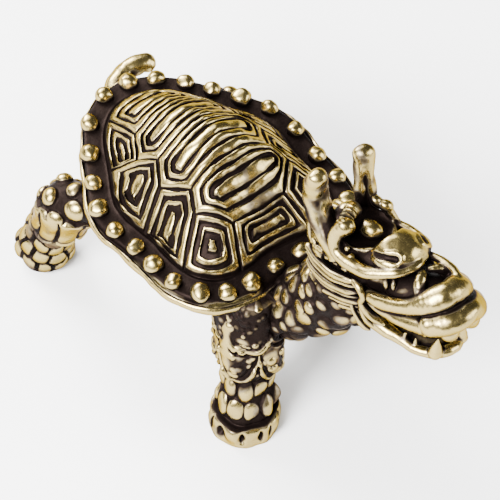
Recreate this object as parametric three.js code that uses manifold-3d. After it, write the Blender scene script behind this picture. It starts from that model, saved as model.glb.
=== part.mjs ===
// A dragon turtle: a small figure cast in brass, in one piece, standing on four feet.
// Millimetres, +Z up, the head towards -Y. The origin is the bottom centre of the figure's box.

import * as THREE from 'three';
import { mergeVertices } from 'three/addons/utils/BufferGeometryUtils.js';
import Module from 'manifold-3d';

const wasm = await Module();
wasm.setup();

// Driving sizes of the shell.
const standHeight = 15.6; // ground to the flat band of the rim
const outlineMean = 10.19; // mean distance from the shell's centre to the line of studs
const outlineWaves = [0.68, 1.2, 0.76, -0.12, 0.56, 0.04]; // cosines of once to six times round
const domeInset = 1.44; // line of studs to the foot of the dome
const domeHeight = 7.1;
const domeStep = 0.25; // upright edge at the foot of the dome
const domeFullness = 1.6; // 2 would be a parabola, 1 a cone
const grooveDepth = 0.3;

// Driving sizes of the rim.
const bandWidth = 0.55; // flat part outside the line of studs
const rimReach = 1.08; // line of studs to the outer edge, at the sides
const rimSwing = 0.22; // how much wider the rim is in front, and narrower behind
const lipWidth = 0.42;
const lipDrop = 0.72; // height of the lip's outermost line below the band
const rimThickness = 1.15;
const studCount = 26;
const studRadius = 0.74;
const studRise = 0.66;
const studPhase = 0.23; // share of a spacing from the rear tip to the first stud

// Driving sizes of the body and the limbs.
const bellyDepth = 3.4;
const frontLegRadius = 2.6;
const ankleRadius = 2.0;
const frontFootRadius = 2.95;
const frontFootHeight = 1.45;
const hindLegRadius = 2.3;
const hindFootRadius = 2.62;
const tailRadius = 0.86;
const neckRadius = 3.4;

// Driving sizes of the head, whose own centre lies midway between the horns' roots.
const headAhead = 14.8;
const headLeft = 1.2;
const headUp = 9.3;
const headYaw = THREE.MathUtils.degToRad(8); // turned to its left
const headPitch = THREE.MathUtils.degToRad(6); // nose up
const leftDroop = 0.35; // fall of the head's left half for each millimetre out from its middle
const hornRadius = 1.02;
const hornLength = 6.6;
const pearlRadius = 0.74;
const strandCount = 5;
const strandSpacing = 0.66;
const strandRadius = 0.3;

// The right front leg is put forward and the left one back, as ahead and left of the centre.
const frontLegs = [
	{ hip: [9.0, -2.9], foot: [10.6, -5.0] },
	{ hip: [4.6, 4.6], foot: [3.2, 6.3] },
];
const sides = [-1, 1]; // right and left

// A place on the figure: ahead of the shell's centre, to its own left, and above the rim's band.
function place(ahead, left, up) {
	return new THREE.Vector3(left, -ahead, standHeight + up);
}

const headForward = new THREE.Vector3(
	Math.sin(headYaw) * Math.cos(headPitch),
	-Math.cos(headYaw) * Math.cos(headPitch),
	Math.sin(headPitch),
);
const headSide = new THREE.Vector3(Math.cos(headYaw), Math.sin(headYaw), 0);
const headTop = new THREE.Vector3().crossVectors(headSide, headForward).negate();

// A place on the head: forward of the horns' roots, to its left, and above them.
function onHead(forward, left, up) {
	return place(headAhead, headLeft, headUp)
		.addScaledVector(headForward, forward)
		.addScaledVector(headSide, left)
		.addScaledVector(headTop, up - leftDroop * Math.max(left, 0));
}

// Turns a closed mesh into a solid that can be joined and cut.
function toSolid(geometry) {
	geometry.deleteAttribute('normal');
	geometry.deleteAttribute('uv');
	const merged = mergeVertices(geometry, 1e-4);
	const points = merged.getAttribute('position').array;
	const faces = Array.from(merged.index.array);
	const kept = [];
	for (let i = 0; i < faces.length; i += 3) {
		const [a, b, c] = faces.slice(i, i + 3);
		if (a !== b && b !== c && c !== a) {
			kept.push(a, b, c);
		}
	}
	let volume = 0;
	const corner = (k) => new THREE.Vector3().fromArray(points, 3 * k);
	for (let i = 0; i < kept.length; i += 3) {
		volume += corner(kept[i]).dot(corner(kept[i + 1]).cross(corner(kept[i + 2])));
	}
	if (volume < 0) {
		kept.reverse();
	}
	return new wasm.Manifold(new wasm.Mesh({
		numProp: 3,
		vertProperties: new Float32Array(points),
		triVerts: new Uint32Array(kept),
	}));
}

function toGeometry(solid) {
	const mesh = solid.getMesh();
	const geometry = new THREE.BufferGeometry();
	geometry.setAttribute('position', new THREE.Float32BufferAttribute(mesh.vertProperties, 3));
	geometry.setIndex(Array.from(mesh.triVerts));
	return geometry;
}

// Skins a list of rings of equal length and closes both ends to their middles or given tips.
function skin(rings, firstTip, lastTip) {
	const around = rings[0].length;
	const points = rings.flat();
	const faces = [];
	for (let i = 0; i + 1 < rings.length; i++) {
		for (let k = 0; k < around; k++) {
			const a = i * around + k;
			const b = i * around + (k + 1) % around;
			faces.push(a, b, b + around, a, b + around, a + around);
		}
	}
	const middle = (ring) => ring.reduce((sum, p) => sum.add(p), new THREE.Vector3()).divideScalar(around);
	const first = points.push(firstTip ?? middle(rings[0])) - 1;
	const last = points.push(lastTip ?? middle(rings.at(-1))) - 1;
	const lastStart = (rings.length - 1) * around;
	for (let k = 0; k < around; k++) {
		const next = (k + 1) % around;
		faces.push(first, next, k);
		faces.push(last, lastStart + k, lastStart + next);
	}
	const geometry = new THREE.BufferGeometry().setFromPoints(points);
	geometry.setIndex(faces);
	return toSolid(geometry);
}

// A limb along stations, each a point, a half-width to the side and a half-width across that.
// The ends may be domed by a share of their width.
function limb(stations, options) {
	const { sides, steps, side = new THREE.Vector3(1, 0, 0), relief = () => 0, domes = [0, 0] } = options;
	const path = new THREE.CatmullRomCurve3(stations.map((s) => s[0]));
	const widths = new THREE.CatmullRomCurve3(stations.map((s) => new THREE.Vector3(s[1], s[2], 0)));
	const ring = (v, shift, share, row) => {
		const along = path.getTangent(v);
		const first = side.clone().addScaledVector(along, -side.dot(along)).normalize();
		const second = new THREE.Vector3().crossVectors(along, first);
		const width = widths.getPoint(v);
		const centre = path.getPoint(v).addScaledVector(along, shift * width.x);
		return Array.from({ length: sides }, (_, k) => {
			const turn = 2 * Math.PI * k / sides;
			const lift = relief(row, k, v) * share;
			return centre.clone()
				.addScaledVector(first, (width.x * share + lift) * Math.cos(turn))
				.addScaledVector(second, (width.y * share + lift) * Math.sin(turn));
		});
	};
	const rings = Array.from({ length: steps + 1 }, (_, i) => ring(i / steps, 0, 1, i));
	const tip = (v, shift) => path.getPoint(v).addScaledVector(path.getTangent(v), shift * widths.getPoint(v).x);
	let firstTip;
	let lastTip;
	if (domes[0] > 0) {
		rings.unshift(ring(0, -domes[0] * 0.7, 0.7, 0));
		firstTip = tip(0, -domes[0]);
	}
	if (domes[1] > 0) {
		rings.push(ring(1, domes[1] * 0.7, 0.7, steps));
		lastTip = tip(1, domes[1]);
	}
	return skin(rings, firstTip, lastTip);
}

// A round-ended lump with its own half-lengths, turned to the head.
function lump(centre, forward, across, high, sides, rows) {
	const ball = new THREE.SphereGeometry(1, sides, rows);
	const turned = new THREE.Matrix4().makeBasis(
		headForward.clone().multiplyScalar(forward),
		headSide.clone().multiplyScalar(across),
		headTop.clone().multiplyScalar(high),
	);
	turned.setPosition(centre);
	return toSolid(ball.applyMatrix4(turned));
}

// Rows of scales on a limb: each second point of each second ring stands proud, staggered.
function scales(height, groove) {
	return (row, k) => {
		if (row % 2 === 0) {
			return -groove;
		}
		return (k + (row - 1) / 2) % 2 === 0 ? height : -groove * 0.5;
	};
}

// The line of studs, as a distance from the shell's centre. Turn 0 is the rear tip, and the
// turn grows towards the figure's left.
function studLine(turn) {
	return outlineWaves.reduce((sum, wave, k) => sum + wave * Math.cos((k + 1) * turn), outlineMean);
}

function onOutline(turn, outward, up) {
	const reach = studLine(turn) + outward;
	return place(-reach * Math.cos(turn), reach * Math.sin(turn), up);
}

// Height of the dome over the rim's band, at a place ahead and left of the shell's centre.
function domeUp(ahead, left) {
	const reach = studLine(Math.atan2(left, -ahead)) - domeInset;
	const share = Math.min(1, Math.hypot(ahead, left) / reach);
	return domeStep + (domeHeight - domeStep) * (1 - share ** domeFullness);
}

// Corners where the scutes meet, ahead and left of the centre.
const meets = {
	rear: [-6.8, 2.8],
	rearSide: [-4.9, 4.1],
	rearMiddle: [-2.7, 3.5],
	middleSide: [-0.65, 4.8],
	frontMiddle: [1.7, 3.5],
	frontSide: [3.7, 4.15],
	front: [5.75, 2.9],
};

// Where the seams reach the foot of the dome, as turns from the rear tip.
const footTurns = { rear: 36.3, rearSide: 52.7, middleSide: 85, frontSide: 117.5, front: 164.7 };

// The spans of the foot between those seams, once round, and the parts that each is drawn in.
const leftSpans = [
	[0, footTurns.rear, 3],
	[footTurns.rear, footTurns.rearSide, 2],
	[footTurns.rearSide, footTurns.middleSide, 4],
	[footTurns.middleSide, footTurns.frontSide, 4],
	[footTurns.frontSide, footTurns.front, 5],
];
const footSpans = [
	...leftSpans,
	[footTurns.front, 360 - footTurns.front, 4],
	...leftSpans.map(([from, to, parts]) => [360 - to, 360 - from, parts]).reverse(),
];

function footPoint(degrees) {
	const turn = THREE.MathUtils.degToRad(degrees);
	const reach = studLine(turn) - domeInset;
	return [-reach * Math.cos(turn), reach * Math.sin(turn)];
}

const mirror = ([ahead, left]) => [ahead, -left];

// Points from one corner up to the next, the same ones whichever way the seam is walked.
function seam(from, to, parts) {
	const swapped = from[0] > to[0] || (from[0] === to[0] && from[1] > to[1]);
	const [a, b] = swapped ? [to, from] : [from, to];
	const points = Array.from({ length: parts + 1 }, (_, i) => [
		a[0] + (b[0] - a[0]) * i / parts,
		a[1] + (b[1] - a[1]) * i / parts,
	]);
	if (swapped) {
		points.reverse();
	}
	return points.slice(0, -1);
}

// Points along the foot of the dome between two turns, the last one left out.
function foot(fromDegrees, toDegrees, parts) {
	return Array.from({ length: parts }, (_, i) => footPoint(fromDegrees + (toDegrees - fromDegrees) * i / parts));
}

// Each scute is an outline and the bar that its rings close in on.
const acrossParts = 3;
const m = meets;
const vertebrals = [
	{
		edge: [
			...seam(m.rear, mirror(m.rear), acrossParts),
			...seam(mirror(m.rear), footPoint(-footTurns.rear), 2),
			...foot(-footTurns.rear, 0, 3),
			...foot(0, footTurns.rear, 3),
			...seam(footPoint(footTurns.rear), m.rear, 2),
		],
		bar: [[-8.9, -1.1], [-8.9, 1.1]],
	},
	...[
		[m.rear, m.rearSide, m.rearMiddle, -4.75, 2.3],
		[m.rearMiddle, m.middleSide, m.frontMiddle, -0.55, 2.8],
		[m.frontMiddle, m.frontSide, m.front, 3.75, 2.2],
	].map(([back, side, front, middle, reach]) => ({
		edge: [
			...seam(back, side, 2),
			...seam(side, front, 2),
			...seam(front, mirror(front), acrossParts),
			...seam(mirror(front), mirror(side), 2),
			...seam(mirror(side), mirror(back), 2),
			...seam(mirror(back), back, acrossParts),
		],
		bar: [[middle, -reach], [middle, reach]],
	})),
	{
		edge: [
			...seam(mirror(m.front), m.front, acrossParts),
			...seam(m.front, footPoint(footTurns.front), 2),
			...foot(footTurns.front, 360 - footTurns.front, 4),
			...seam(footPoint(360 - footTurns.front), mirror(m.front), 2),
		],
		bar: [[7.0, -1.3], [7.0, 1.3]],
	},
];
const costals = [
	{
		edge: [
			...seam(m.rear, m.rearSide, 2),
			...seam(m.rearSide, footPoint(footTurns.rearSide), 2),
			...foot(footTurns.rearSide, footTurns.rear, 2),
			...seam(footPoint(footTurns.rear), m.rear, 2),
		],
		bar: [[-6.2, 4.2], [-5.6, 5.4]],
	},
	{
		edge: [
			...seam(m.rearSide, m.rearMiddle, 2),
			...seam(m.rearMiddle, m.middleSide, 2),
			...seam(m.middleSide, footPoint(footTurns.middleSide), 2),
			...foot(footTurns.middleSide, footTurns.rearSide, 4),
			...seam(footPoint(footTurns.rearSide), m.rearSide, 2),
		],
		bar: [[-2.9, 5.0], [-2.5, 6.4]],
	},
	{
		edge: [
			...seam(m.middleSide, m.frontMiddle, 2),
			...seam(m.frontMiddle, m.frontSide, 2),
			...seam(m.frontSide, footPoint(footTurns.frontSide), 2),
			...foot(footTurns.frontSide, footTurns.middleSide, 4),
			...seam(footPoint(footTurns.middleSide), m.middleSide, 2),
		],
		bar: [[1.4, 5.1], [1.8, 6.5]],
	},
	{
		edge: [
			...seam(m.frontSide, m.front, 2),
			...seam(m.front, footPoint(footTurns.front), 2),
			...foot(footTurns.front, footTurns.frontSide, 5),
			...seam(footPoint(footTurns.frontSide), m.frontSide, 2),
		],
		bar: [[5.9, 4.8], [6.1, 5.0]],
	},
];
const scutes = [
	...vertebrals,
	...costals,
	...costals.map(({ edge, bar }) => ({ edge: edge.map(mirror), bar: bar.map(mirror) })),
];

// Across a scute, from its seam to its bar: share of the way, and how deep the surface lies.
const ringProfile = [
	[0, grooveDepth],
	[0.1, 0],
	[0.31, 0],
	[0.4, grooveDepth],
	[0.5, 0],
	[0.68, 0],
	[0.77, grooveDepth],
	[0.87, 0],
];

function nearestOnBar(point, [start, end]) {
	const run = [end[0] - start[0], end[1] - start[1]];
	const length = run[0] ** 2 + run[1] ** 2;
	const share = ((point[0] - start[0]) * run[0] + (point[1] - start[1]) * run[1]) / length;
	const held = Math.min(1, Math.max(0, share));
	return [start[0] + run[0] * held, start[1] + run[1] * held];
}

function dome() {
	const points = [];
	const faces = [];
	const add = (ahead, left, up) => points.push(place(ahead, left, up)) - 1;
	for (const { edge, bar } of scutes) {
		const rings = ringProfile.map(([share, depth]) => edge.map((point) => {
			const near = nearestOnBar(point, bar);
			const ahead = point[0] + (near[0] - point[0]) * share;
			const left = point[1] + (near[1] - point[1]) * share;
			return add(ahead, left, domeUp(ahead, left) - depth);
		}));
		const middle = [(bar[0][0] + bar[1][0]) / 2, (bar[0][1] + bar[1][1]) / 2];
		const top = add(...middle, domeUp(...middle));
		const area = edge.reduce((sum, p, k) => {
			const q = edge[(k + 1) % edge.length];
			return sum + p[0] * q[1] - p[1] * q[0];
		}, 0);
		const face = (a, b, c) => (area > 0 ? faces.push(a, b, c) : faces.push(a, c, b));
		edge.forEach((_, k) => {
			const next = (k + 1) % edge.length;
			for (let i = 0; i + 1 < rings.length; i++) {
				face(rings[i][k], rings[i][next], rings[i + 1][next]);
				face(rings[i][k], rings[i + 1][next], rings[i + 1][k]);
			}
			face(rings.at(-1)[k], rings.at(-1)[next], top);
		});
	}
	// The wall and floor below the scutes follow the same points of the foot.
	const ring = footSpans.flatMap(([from, to, parts]) => foot(from, to, parts));
	const upper = ring.map(([a, l]) => add(a, l, domeUp(a, l) - grooveDepth));
	const lower = ring.map(([a, l]) => add(a, l, -rimThickness / 2 - grooveDepth));
	const centre = add(0, 0, -rimThickness / 2 - grooveDepth);
	ring.forEach((_, k) => {
		const next = (k + 1) % ring.length;
		faces.push(upper[k], upper[next], lower[next], upper[k], lower[next], lower[k]);
		faces.push(centre, lower[k], lower[next]);
	});
	const geometry = new THREE.BufferGeometry().setFromPoints(points);
	geometry.setIndex(faces);
	return toSolid(geometry);
}

// The rim: a flat dark band round the dome that falls away outside the studs to a round lip.
function rim() {
	const around = 56;
	const profile = (turn) => {
		const reach = rimReach - rimSwing * Math.cos(turn);
		return [
			[-domeInset - 0.6, 0],
			[bandWidth, 0],
			[reach - lipWidth * 0.9, -lipDrop * 0.62],
			[reach - lipWidth * 0.35, -lipDrop * 0.6],
			[reach, -lipDrop],
			[reach - lipWidth * 0.4, -rimThickness],
			[reach - lipWidth * 1.8, -rimThickness],
		];
	};
	const levels = profile(0).map((_, i) => Array.from({ length: around }, (__, k) => {
		const turn = 2 * Math.PI * k / around;
		return onOutline(turn, ...profile(turn)[i]);
	}));
	return skin(levels);
}

// Turns that space the studs evenly along their line.
function studTurns() {
	const samples = 720;
	const turns = Array.from({ length: samples + 1 }, (_, i) => 2 * Math.PI * i / samples);
	const lengths = [0];
	for (let i = 1; i <= samples; i++) {
		lengths.push(lengths[i - 1] + onOutline(turns[i], 0, 0).distanceTo(onOutline(turns[i - 1], 0, 0)));
	}
	const spacing = lengths[samples] / studCount;
	return Array.from({ length: studCount }, (_, k) => {
		const wanted = spacing * (k + studPhase);
		const i = lengths.findIndex((length) => length >= wanted);
		const share = (wanted - lengths[i - 1]) / (lengths[i] - lengths[i - 1]);
		return turns[i - 1] + share * (turns[i] - turns[i - 1]);
	});
}

function stud(turn) {
	const sides = 6;
	const level = (radius, up) => Array.from({ length: sides }, (_, k) => {
		const around = 2 * Math.PI * k / sides;
		return onOutline(turn, 0, up).add(new THREE.Vector3(radius * Math.cos(around), radius * Math.sin(around), 0));
	});
	const rings = [
		level(studRadius, -rimThickness * 0.4),
		level(studRadius, studRise * 0.3),
		level(studRadius * 0.66, studRise * 0.84),
	];
	return skin(rings, undefined, onOutline(turn, 0, studRise));
}

// The belly: a shallow tub under the rim, as wide as the dome.
function belly() {
	const around = 20;
	const ring = (share, up) => Array.from({ length: around }, (_, k) => {
		const turn = 2 * Math.PI * k / around;
		const reach = (studLine(turn) - domeInset) * share;
		return place(-reach * Math.cos(turn), reach * Math.sin(turn), up);
	});
	return skin([
		ring(0.95, -rimThickness / 2),
		ring(0.88, -bellyDepth * 0.7),
		ring(0.6, -bellyDepth),
	]);
}

// A front leg: a sleeve of broad scales with a scalloped edge, two rows of small ones round the
// ankle, a groove, and a round foot with notched toes.
function frontLeg({ hip, foot }) {
	const sides = 16;
	const footTop = -standHeight + frontFootHeight;
	const sleeveEdge = -standHeight * 0.53;
	const sleeve = frontLegRadius;
	const ankle = ankleRadius;
	const levels = [
		{ up: -0.7, radius: sleeve * 0.92 },
		{ up: sleeveEdge * 0.6, radius: sleeve * 1.06, hang: 0.8 },
		{ up: sleeveEdge * 0.62, radius: sleeve * 0.92, hang: 0.8 },
		{ up: sleeveEdge, radius: sleeve * 1.05, hang: 0.9, half: true },
		{ up: sleeveEdge - 0.12, radius: ankle * 1.05, hang: 0.9, half: true },
		{ up: sleeveEdge - 3.0, radius: ankle * 1.1, hang: 0.7 },
		{ up: sleeveEdge - 3.1, radius: ankle * 0.95, hang: 0.7 },
		{ up: footTop + 0.5, radius: ankle * 1.18, hang: 0.5, half: true },
		{ up: footTop, radius: ankle * 1.08 },
		{ up: footTop, radius: frontFootRadius * 0.86 },
		{ up: footTop - frontFootHeight * 0.4, radius: frontFootRadius, toes: 0.16 },
		{ up: -standHeight, radius: frontFootRadius * 0.96, toes: 0.16 },
	];
	return skin(levels.map(({ up, radius, hang = 0, half = false, toes = 0 }) => {
		const share = -up / standHeight;
		const middle = hip.map((from, axis) => from + (foot[axis] - from) * share);
		return Array.from({ length: sides }, (_, k) => {
			const turn = 2 * Math.PI * k / sides;
			const lobe = Math.abs(half ? Math.sin(2 * turn) : Math.cos(2 * turn));
			const reach = radius - (k % 2 ? toes : 0);
			const ahead = middle[0] + reach * Math.cos(turn);
			const left = middle[1] + reach * Math.sin(turn);
			return place(ahead, left, up - hang * (lobe - 0.5));
		});
	}));
}

// A hind leg: the thigh comes out from under the rim to a high round knee, and the shin goes
// down to a round foot. Pebbled scales cover it.
function hindLeg(side) {
	const station = (ahead, left, up, radius) => [place(ahead, left * side, up), radius, radius];
	const thigh = limb([
		station(-5.0, 5.4, -2.8, hindLegRadius * 0.92),
		station(-7.4, 7.2, -4.0, hindLegRadius * 0.94),
		station(-9.6, 8.5, -5.2, hindLegRadius * 0.92),
	], { sides: 8, steps: 3, domes: [0, 0.95] });
	const shin = limb([
		station(-9.8, 8.6, -5.2, hindLegRadius * 0.9),
		station(-10.8, 8.7, -7.4, hindLegRadius),
		station(-11.9, 8.4, -9.8, hindLegRadius * 0.98),
		station(-12.9, 7.9, -12.4, hindFootRadius * 0.98),
		station(-13.2, 7.7, -15.0, hindFootRadius * 0.76),
		station(-13.2, 7.7, -16.2, hindFootRadius * 0.4),
	], { sides: 12, steps: 9, relief: scales(0.16, 0.1), domes: [0.9, 0] });
	return thigh.add(shin);
}

// The tail: smooth, curled round the rear tip towards the figure's left.
function tail() {
	const station = (ahead, left, up, share) => [place(ahead, left, up), tailRadius * share, tailRadius * share];
	return limb([
		station(-11.0, -0.4, -2.4, 1.3),
		station(-14.0, 0.6, -2.0, 1.2),
		station(-15.2, 2.2, -1.4, 1.05),
		station(-15.1, 3.5, -1.1, 1.0),
		station(-14.7, 4.5, -1.2, 0.9),
	], { sides: 7, steps: 5, side: new THREE.Vector3(0, 0, 1), domes: [0, 0.9] });
}

// The neck rises from under the rim to the back of the head, with pebbled scales on the throat.
function neck() {
	const station = (ahead, left, up, wide, high) => [place(ahead, left, up), wide * neckRadius, high * neckRadius];
	return limb([
		station(5.6, 0, -1.9, 0.8, 0.4),
		station(10.2, 0.2, -3.4, 1.1, 0.78),
		station(12.9, 0.6, -1.4, 1.06, 0.84),
		station(15.2, 1.0, 1.8, 0.98, 0.9),
		station(16.6, 1.3, 5.8, 0.9, 0.9),
	], { sides: 12, steps: 7, relief: scales(0.2, 0.1) });
}

// Strands of the mane run forward along each side of the neck to behind the jaw.
function mane(side) {
	return Array.from({ length: strandCount }, (_, k) => {
		const up = -1.7 - strandSpacing * k;
		const station = (forward, left) => [onHead(forward, left * side, up), strandRadius, strandRadius];
		return limb([
			station(-1.7, 2.5),
			station(0.2, 3.1),
			station(2.3, 3.2),
			station(4.3, 2.7),
		], { sides: 4, steps: 3, side: headTop });
	});
}

// A roll of flesh carried round the muzzle from one cheek to the other, given for the left half.
function roll(half, steps) {
	const right = half.slice(0, -1).map(([forward, left, up, width]) => [forward, -left, up, width]);
	const stations = [...right, ...half.slice().reverse()];
	return limb(
		stations.map(([forward, left, up, width]) => [onHead(forward, left, up), width, width]),
		{ sides: 6, steps, side: headTop, domes: [0.7, 0.7] },
	);
}

function fang(forward, left, up, length) {
	return limb([
		[onHead(forward, left, up), 0.42, 0.42],
		[onHead(forward + 0.15, left, up + length), 0.1, 0.1],
	], { sides: 4, steps: 1, side: headSide });
}

function horn(side) {
	const length = side > 0 ? hornLength * 0.92 : hornLength;
	const station = (forward, left, share, width) => [
		onHead(forward, left * side, 0.4 + length * share),
		hornRadius * width,
		hornRadius * width,
	];
	return limb([
		station(0.2, 1.9, 0, 1.1),
		station(-0.5, 2.1, 0.36, 1.0),
		station(-0.4, 2.35, 0.72, 0.84),
		station(0.1, 2.5, 0.94, 0.74),
	], { sides: 7, steps: 4, side: headSide, domes: [0, 0.8] });
}

// The ridge that starts in a bump, runs down the temple and sweeps forward under the eye.
function browRidge(side) {
	const station = (forward, left, up, width) => [onHead(forward, left * side, up), width, width];
	return limb([
		station(1.9, 2.45, 3.1, 0.68),
		station(1.8, 2.9, 2.1, 0.55),
		station(3.4, 3.15, 1.1, 0.55),
		station(5.6, 3.15, 1.0, 0.6),
		station(7.7, 2.2, 1.4, 0.6),
	], { sides: 5, steps: 6, side: headTop, domes: [0.9, 0.6] });
}

// The skull with its brow, the muzzle with its rolls, and the lower jaw, mouth open.
function head() {
	const station = (forward, up, wide, high) => [onHead(forward, 0, up), wide, high];
	const skull = limb([
		station(-1.6, -1.6, 2.3, 2.4),
		station(1.2, -1.5, 2.9, 3.1),
		station(4.0, -1.7, 2.95, 3.2),
		station(6.2, -1.0, 2.7, 2.4),
		station(8.4, -0.7, 2.5, 1.5),
		station(10.6, -1.0, 2.4, 1.3),
		station(12.0, -1.2, 2.0, 1.1),
	], { sides: 11, steps: 7, side: headSide, domes: [0, 0.35] });
	const temples = lump(onHead(2.6, 0, 0.6), 2.3, 3.0, 2.4, 9, 6);
	const brow = lump(onHead(5.5, 0, 1.25), 2.8, 2.95, 1.75, 10, 6);
	const hollow = lump(onHead(3.0, 0, 2.8), 1.8, 2.35, 1.7, 8, 5);
	const slit = (side) => lump(onHead(6.2, 2.55 * side, 2.0), 0.95, 0.9, 0.3, 6, 4);
	const pearl = lump(onHead(2.8, 0, 1.5), pearlRadius, pearlRadius, pearlRadius, 7, 5);
	const noseRoll = roll([[5.0, 3.0, -2.3, 0.5], [8.0, 2.85, -1.7, 0.7], [10.4, 1.9, -0.5, 1.0], [11.2, 0, 0, 1.05]], 9);
	const lipRoll = roll([[6.4, 2.7, -2.9, 0.4], [9.4, 2.75, -2.5, 0.65], [11.9, 2.05, -1.7, 1.0], [12.5, 0, -1.3, 0.95]], 9);
	const jaw = roll([[4.4, 2.4, -5.0, 0.8], [7.6, 2.1, -5.6, 0.65], [10.4, 1.4, -5.6, 0.65], [11.2, 0, -5.5, 0.7]], 7);
	const jawFloor = lump(onHead(7.6, 0, -5.8), 3.4, 1.9, 0.5, 7, 4);
	const bead = (k) => lump(onHead(0.3 - 0.75 * k, 0, 2.1 + 0.2 * k), 0.5, 0.75 - 0.08 * k, 0.6, 5, 4);
	const joined = [
		skull,
		temples,
		brow,
		...sides.map(browRidge),
		noseRoll,
		lipRoll,
		jaw,
		jawFloor,
		...sides.map((side) => fang(11.9, 1.8 * side, -2.2, -1.3)),
		...sides.map((side) => fang(10.4, 1.4 * side, -5.4, 1.3)),
		...sides.map(horn),
		...[0, 1, 2].map(bead),
	];
	const cut = [hollow, ...sides.map(slit)];
	return join(joined).subtract(join(cut)).add(pearl);
}

function join(solids) {
	return solids.reduce((whole, solid) => whole.add(solid));
}

// The whole casting, with its feet cut off flat at the ground.
function figure() {
	const whole = join([
		rim(),
		dome(),
		belly(),
		...studTurns().map(stud),
		...frontLegs.map(frontLeg),
		...sides.map(hindLeg),
		tail(),
		neck(),
		...sides.flatMap(mane),
		head(),
	]);
	const groundDepth = 6;
	const ground = new THREE.BoxGeometry(60, 80, groundDepth).translate(0, 0, -groundDepth / 2);
	return toGeometry(whole.subtract(toSolid(ground)));
}

// The figure's box is set on the origin by its bottom centre.
const casting = figure();
casting.computeBoundingBox();
const middle = casting.boundingBox.getCenter(new THREE.Vector3());
casting.translate(-middle.x, -middle.y, 0);

const brass = new THREE.MeshStandardMaterial({ color: 0xb89a5a, roughness: 0.32, metalness: 1 });
const turtle = new THREE.Mesh(casting, brass);
turtle.name = 'dragon_turtle';

const model = new THREE.Group();
model.add(turtle);

export default model;
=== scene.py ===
# %% [markdown]
# # A dragon turtle cast in brass
#
# The real figure is one small casting: a turtle with a carved shell, four scaly legs and a
# dragon's head. The photo has no ruler, so its length of about 44 mm is an estimate. By its
# look it was carved in wax, cast in brass, darkened all over and then polished: the high
# places shine and the hollows are nearly black.
#
# The frame below is the plain faceted casting. Every piece made here takes its place from it,
# and together they stand for it in the picture.

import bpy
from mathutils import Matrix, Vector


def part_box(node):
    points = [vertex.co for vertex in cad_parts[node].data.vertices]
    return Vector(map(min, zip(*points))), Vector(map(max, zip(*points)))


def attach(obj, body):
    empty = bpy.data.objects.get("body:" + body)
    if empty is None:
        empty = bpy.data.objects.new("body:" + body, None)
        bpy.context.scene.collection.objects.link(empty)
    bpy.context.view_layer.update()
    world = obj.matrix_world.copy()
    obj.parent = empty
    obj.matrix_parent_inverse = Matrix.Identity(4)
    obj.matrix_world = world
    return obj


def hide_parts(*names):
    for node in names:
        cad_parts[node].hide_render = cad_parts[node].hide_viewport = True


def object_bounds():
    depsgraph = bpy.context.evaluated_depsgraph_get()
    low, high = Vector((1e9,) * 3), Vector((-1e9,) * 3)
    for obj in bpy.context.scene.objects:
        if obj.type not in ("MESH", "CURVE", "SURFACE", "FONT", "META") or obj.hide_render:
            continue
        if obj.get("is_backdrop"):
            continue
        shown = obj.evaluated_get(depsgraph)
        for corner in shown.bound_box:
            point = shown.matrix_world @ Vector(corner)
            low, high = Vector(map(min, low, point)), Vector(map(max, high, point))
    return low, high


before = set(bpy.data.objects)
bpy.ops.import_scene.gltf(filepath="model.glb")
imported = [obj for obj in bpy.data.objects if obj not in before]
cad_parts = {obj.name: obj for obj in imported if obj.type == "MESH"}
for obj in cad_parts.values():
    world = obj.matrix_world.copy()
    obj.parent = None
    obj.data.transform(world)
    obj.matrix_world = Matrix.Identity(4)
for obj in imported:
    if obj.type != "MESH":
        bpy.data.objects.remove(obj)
cad_low, cad_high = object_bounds()

# %% [markdown]
# ## One way to say where things are
#
# A maker thinks of a turtle as ahead, left and up, so the script does too. `place` turns such
# millimetres into the frame's own axes, where the head points to -Y. The hind feet are the
# figure's rearmost part, so the middle of the shell is measured forward from there.

import bmesh
import bpy
import numpy as np
from mathutils import Matrix, Vector

MM = 0.001
ROUND = 2 * np.pi  # once round, in radians
NODE = "dragon_turtle"
STAND_HEIGHT = 15.6  # ground to the flat band of the rim, in millimetres like all sizes here
REAR_REACH = 16.08  # middle of the shell back to the hind feet

shell_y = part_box(NODE)[1].y / MM - REAR_REACH


def place(ahead, left, up):
    """Points of the frame, in millimetres, from the shell's middle and the rim's band."""
    ahead, left, up = np.broadcast_arrays(ahead, left, up)
    return np.stack([left, shell_y - ahead, STAND_HEIGHT + up], axis=-1).astype(float)


print("shell's middle", place(0, 0, 0))

# %% [markdown]
# ## The camera
#
# The photo looks down on the figure from its right front. Its direction was worked out from the
# line of studs, which was taken as flat and level. A long lens from a third of a metre away
# gives the same gentle perspective.

# %% Set up the camera
VIEW_TURN = np.radians(52.8)
VIEW_LIFT = np.radians(50.2)
CAMERA_DISTANCE = 342.9
AIM_RIGHT, AIM_DOWN = 2.85, 4.92  # the picture's middle, from the shell's middle
SENSOR_WIDTH = 36.0
VIEW_WIDTH = 40.0  # how much the picture's width takes in at that distance


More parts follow.
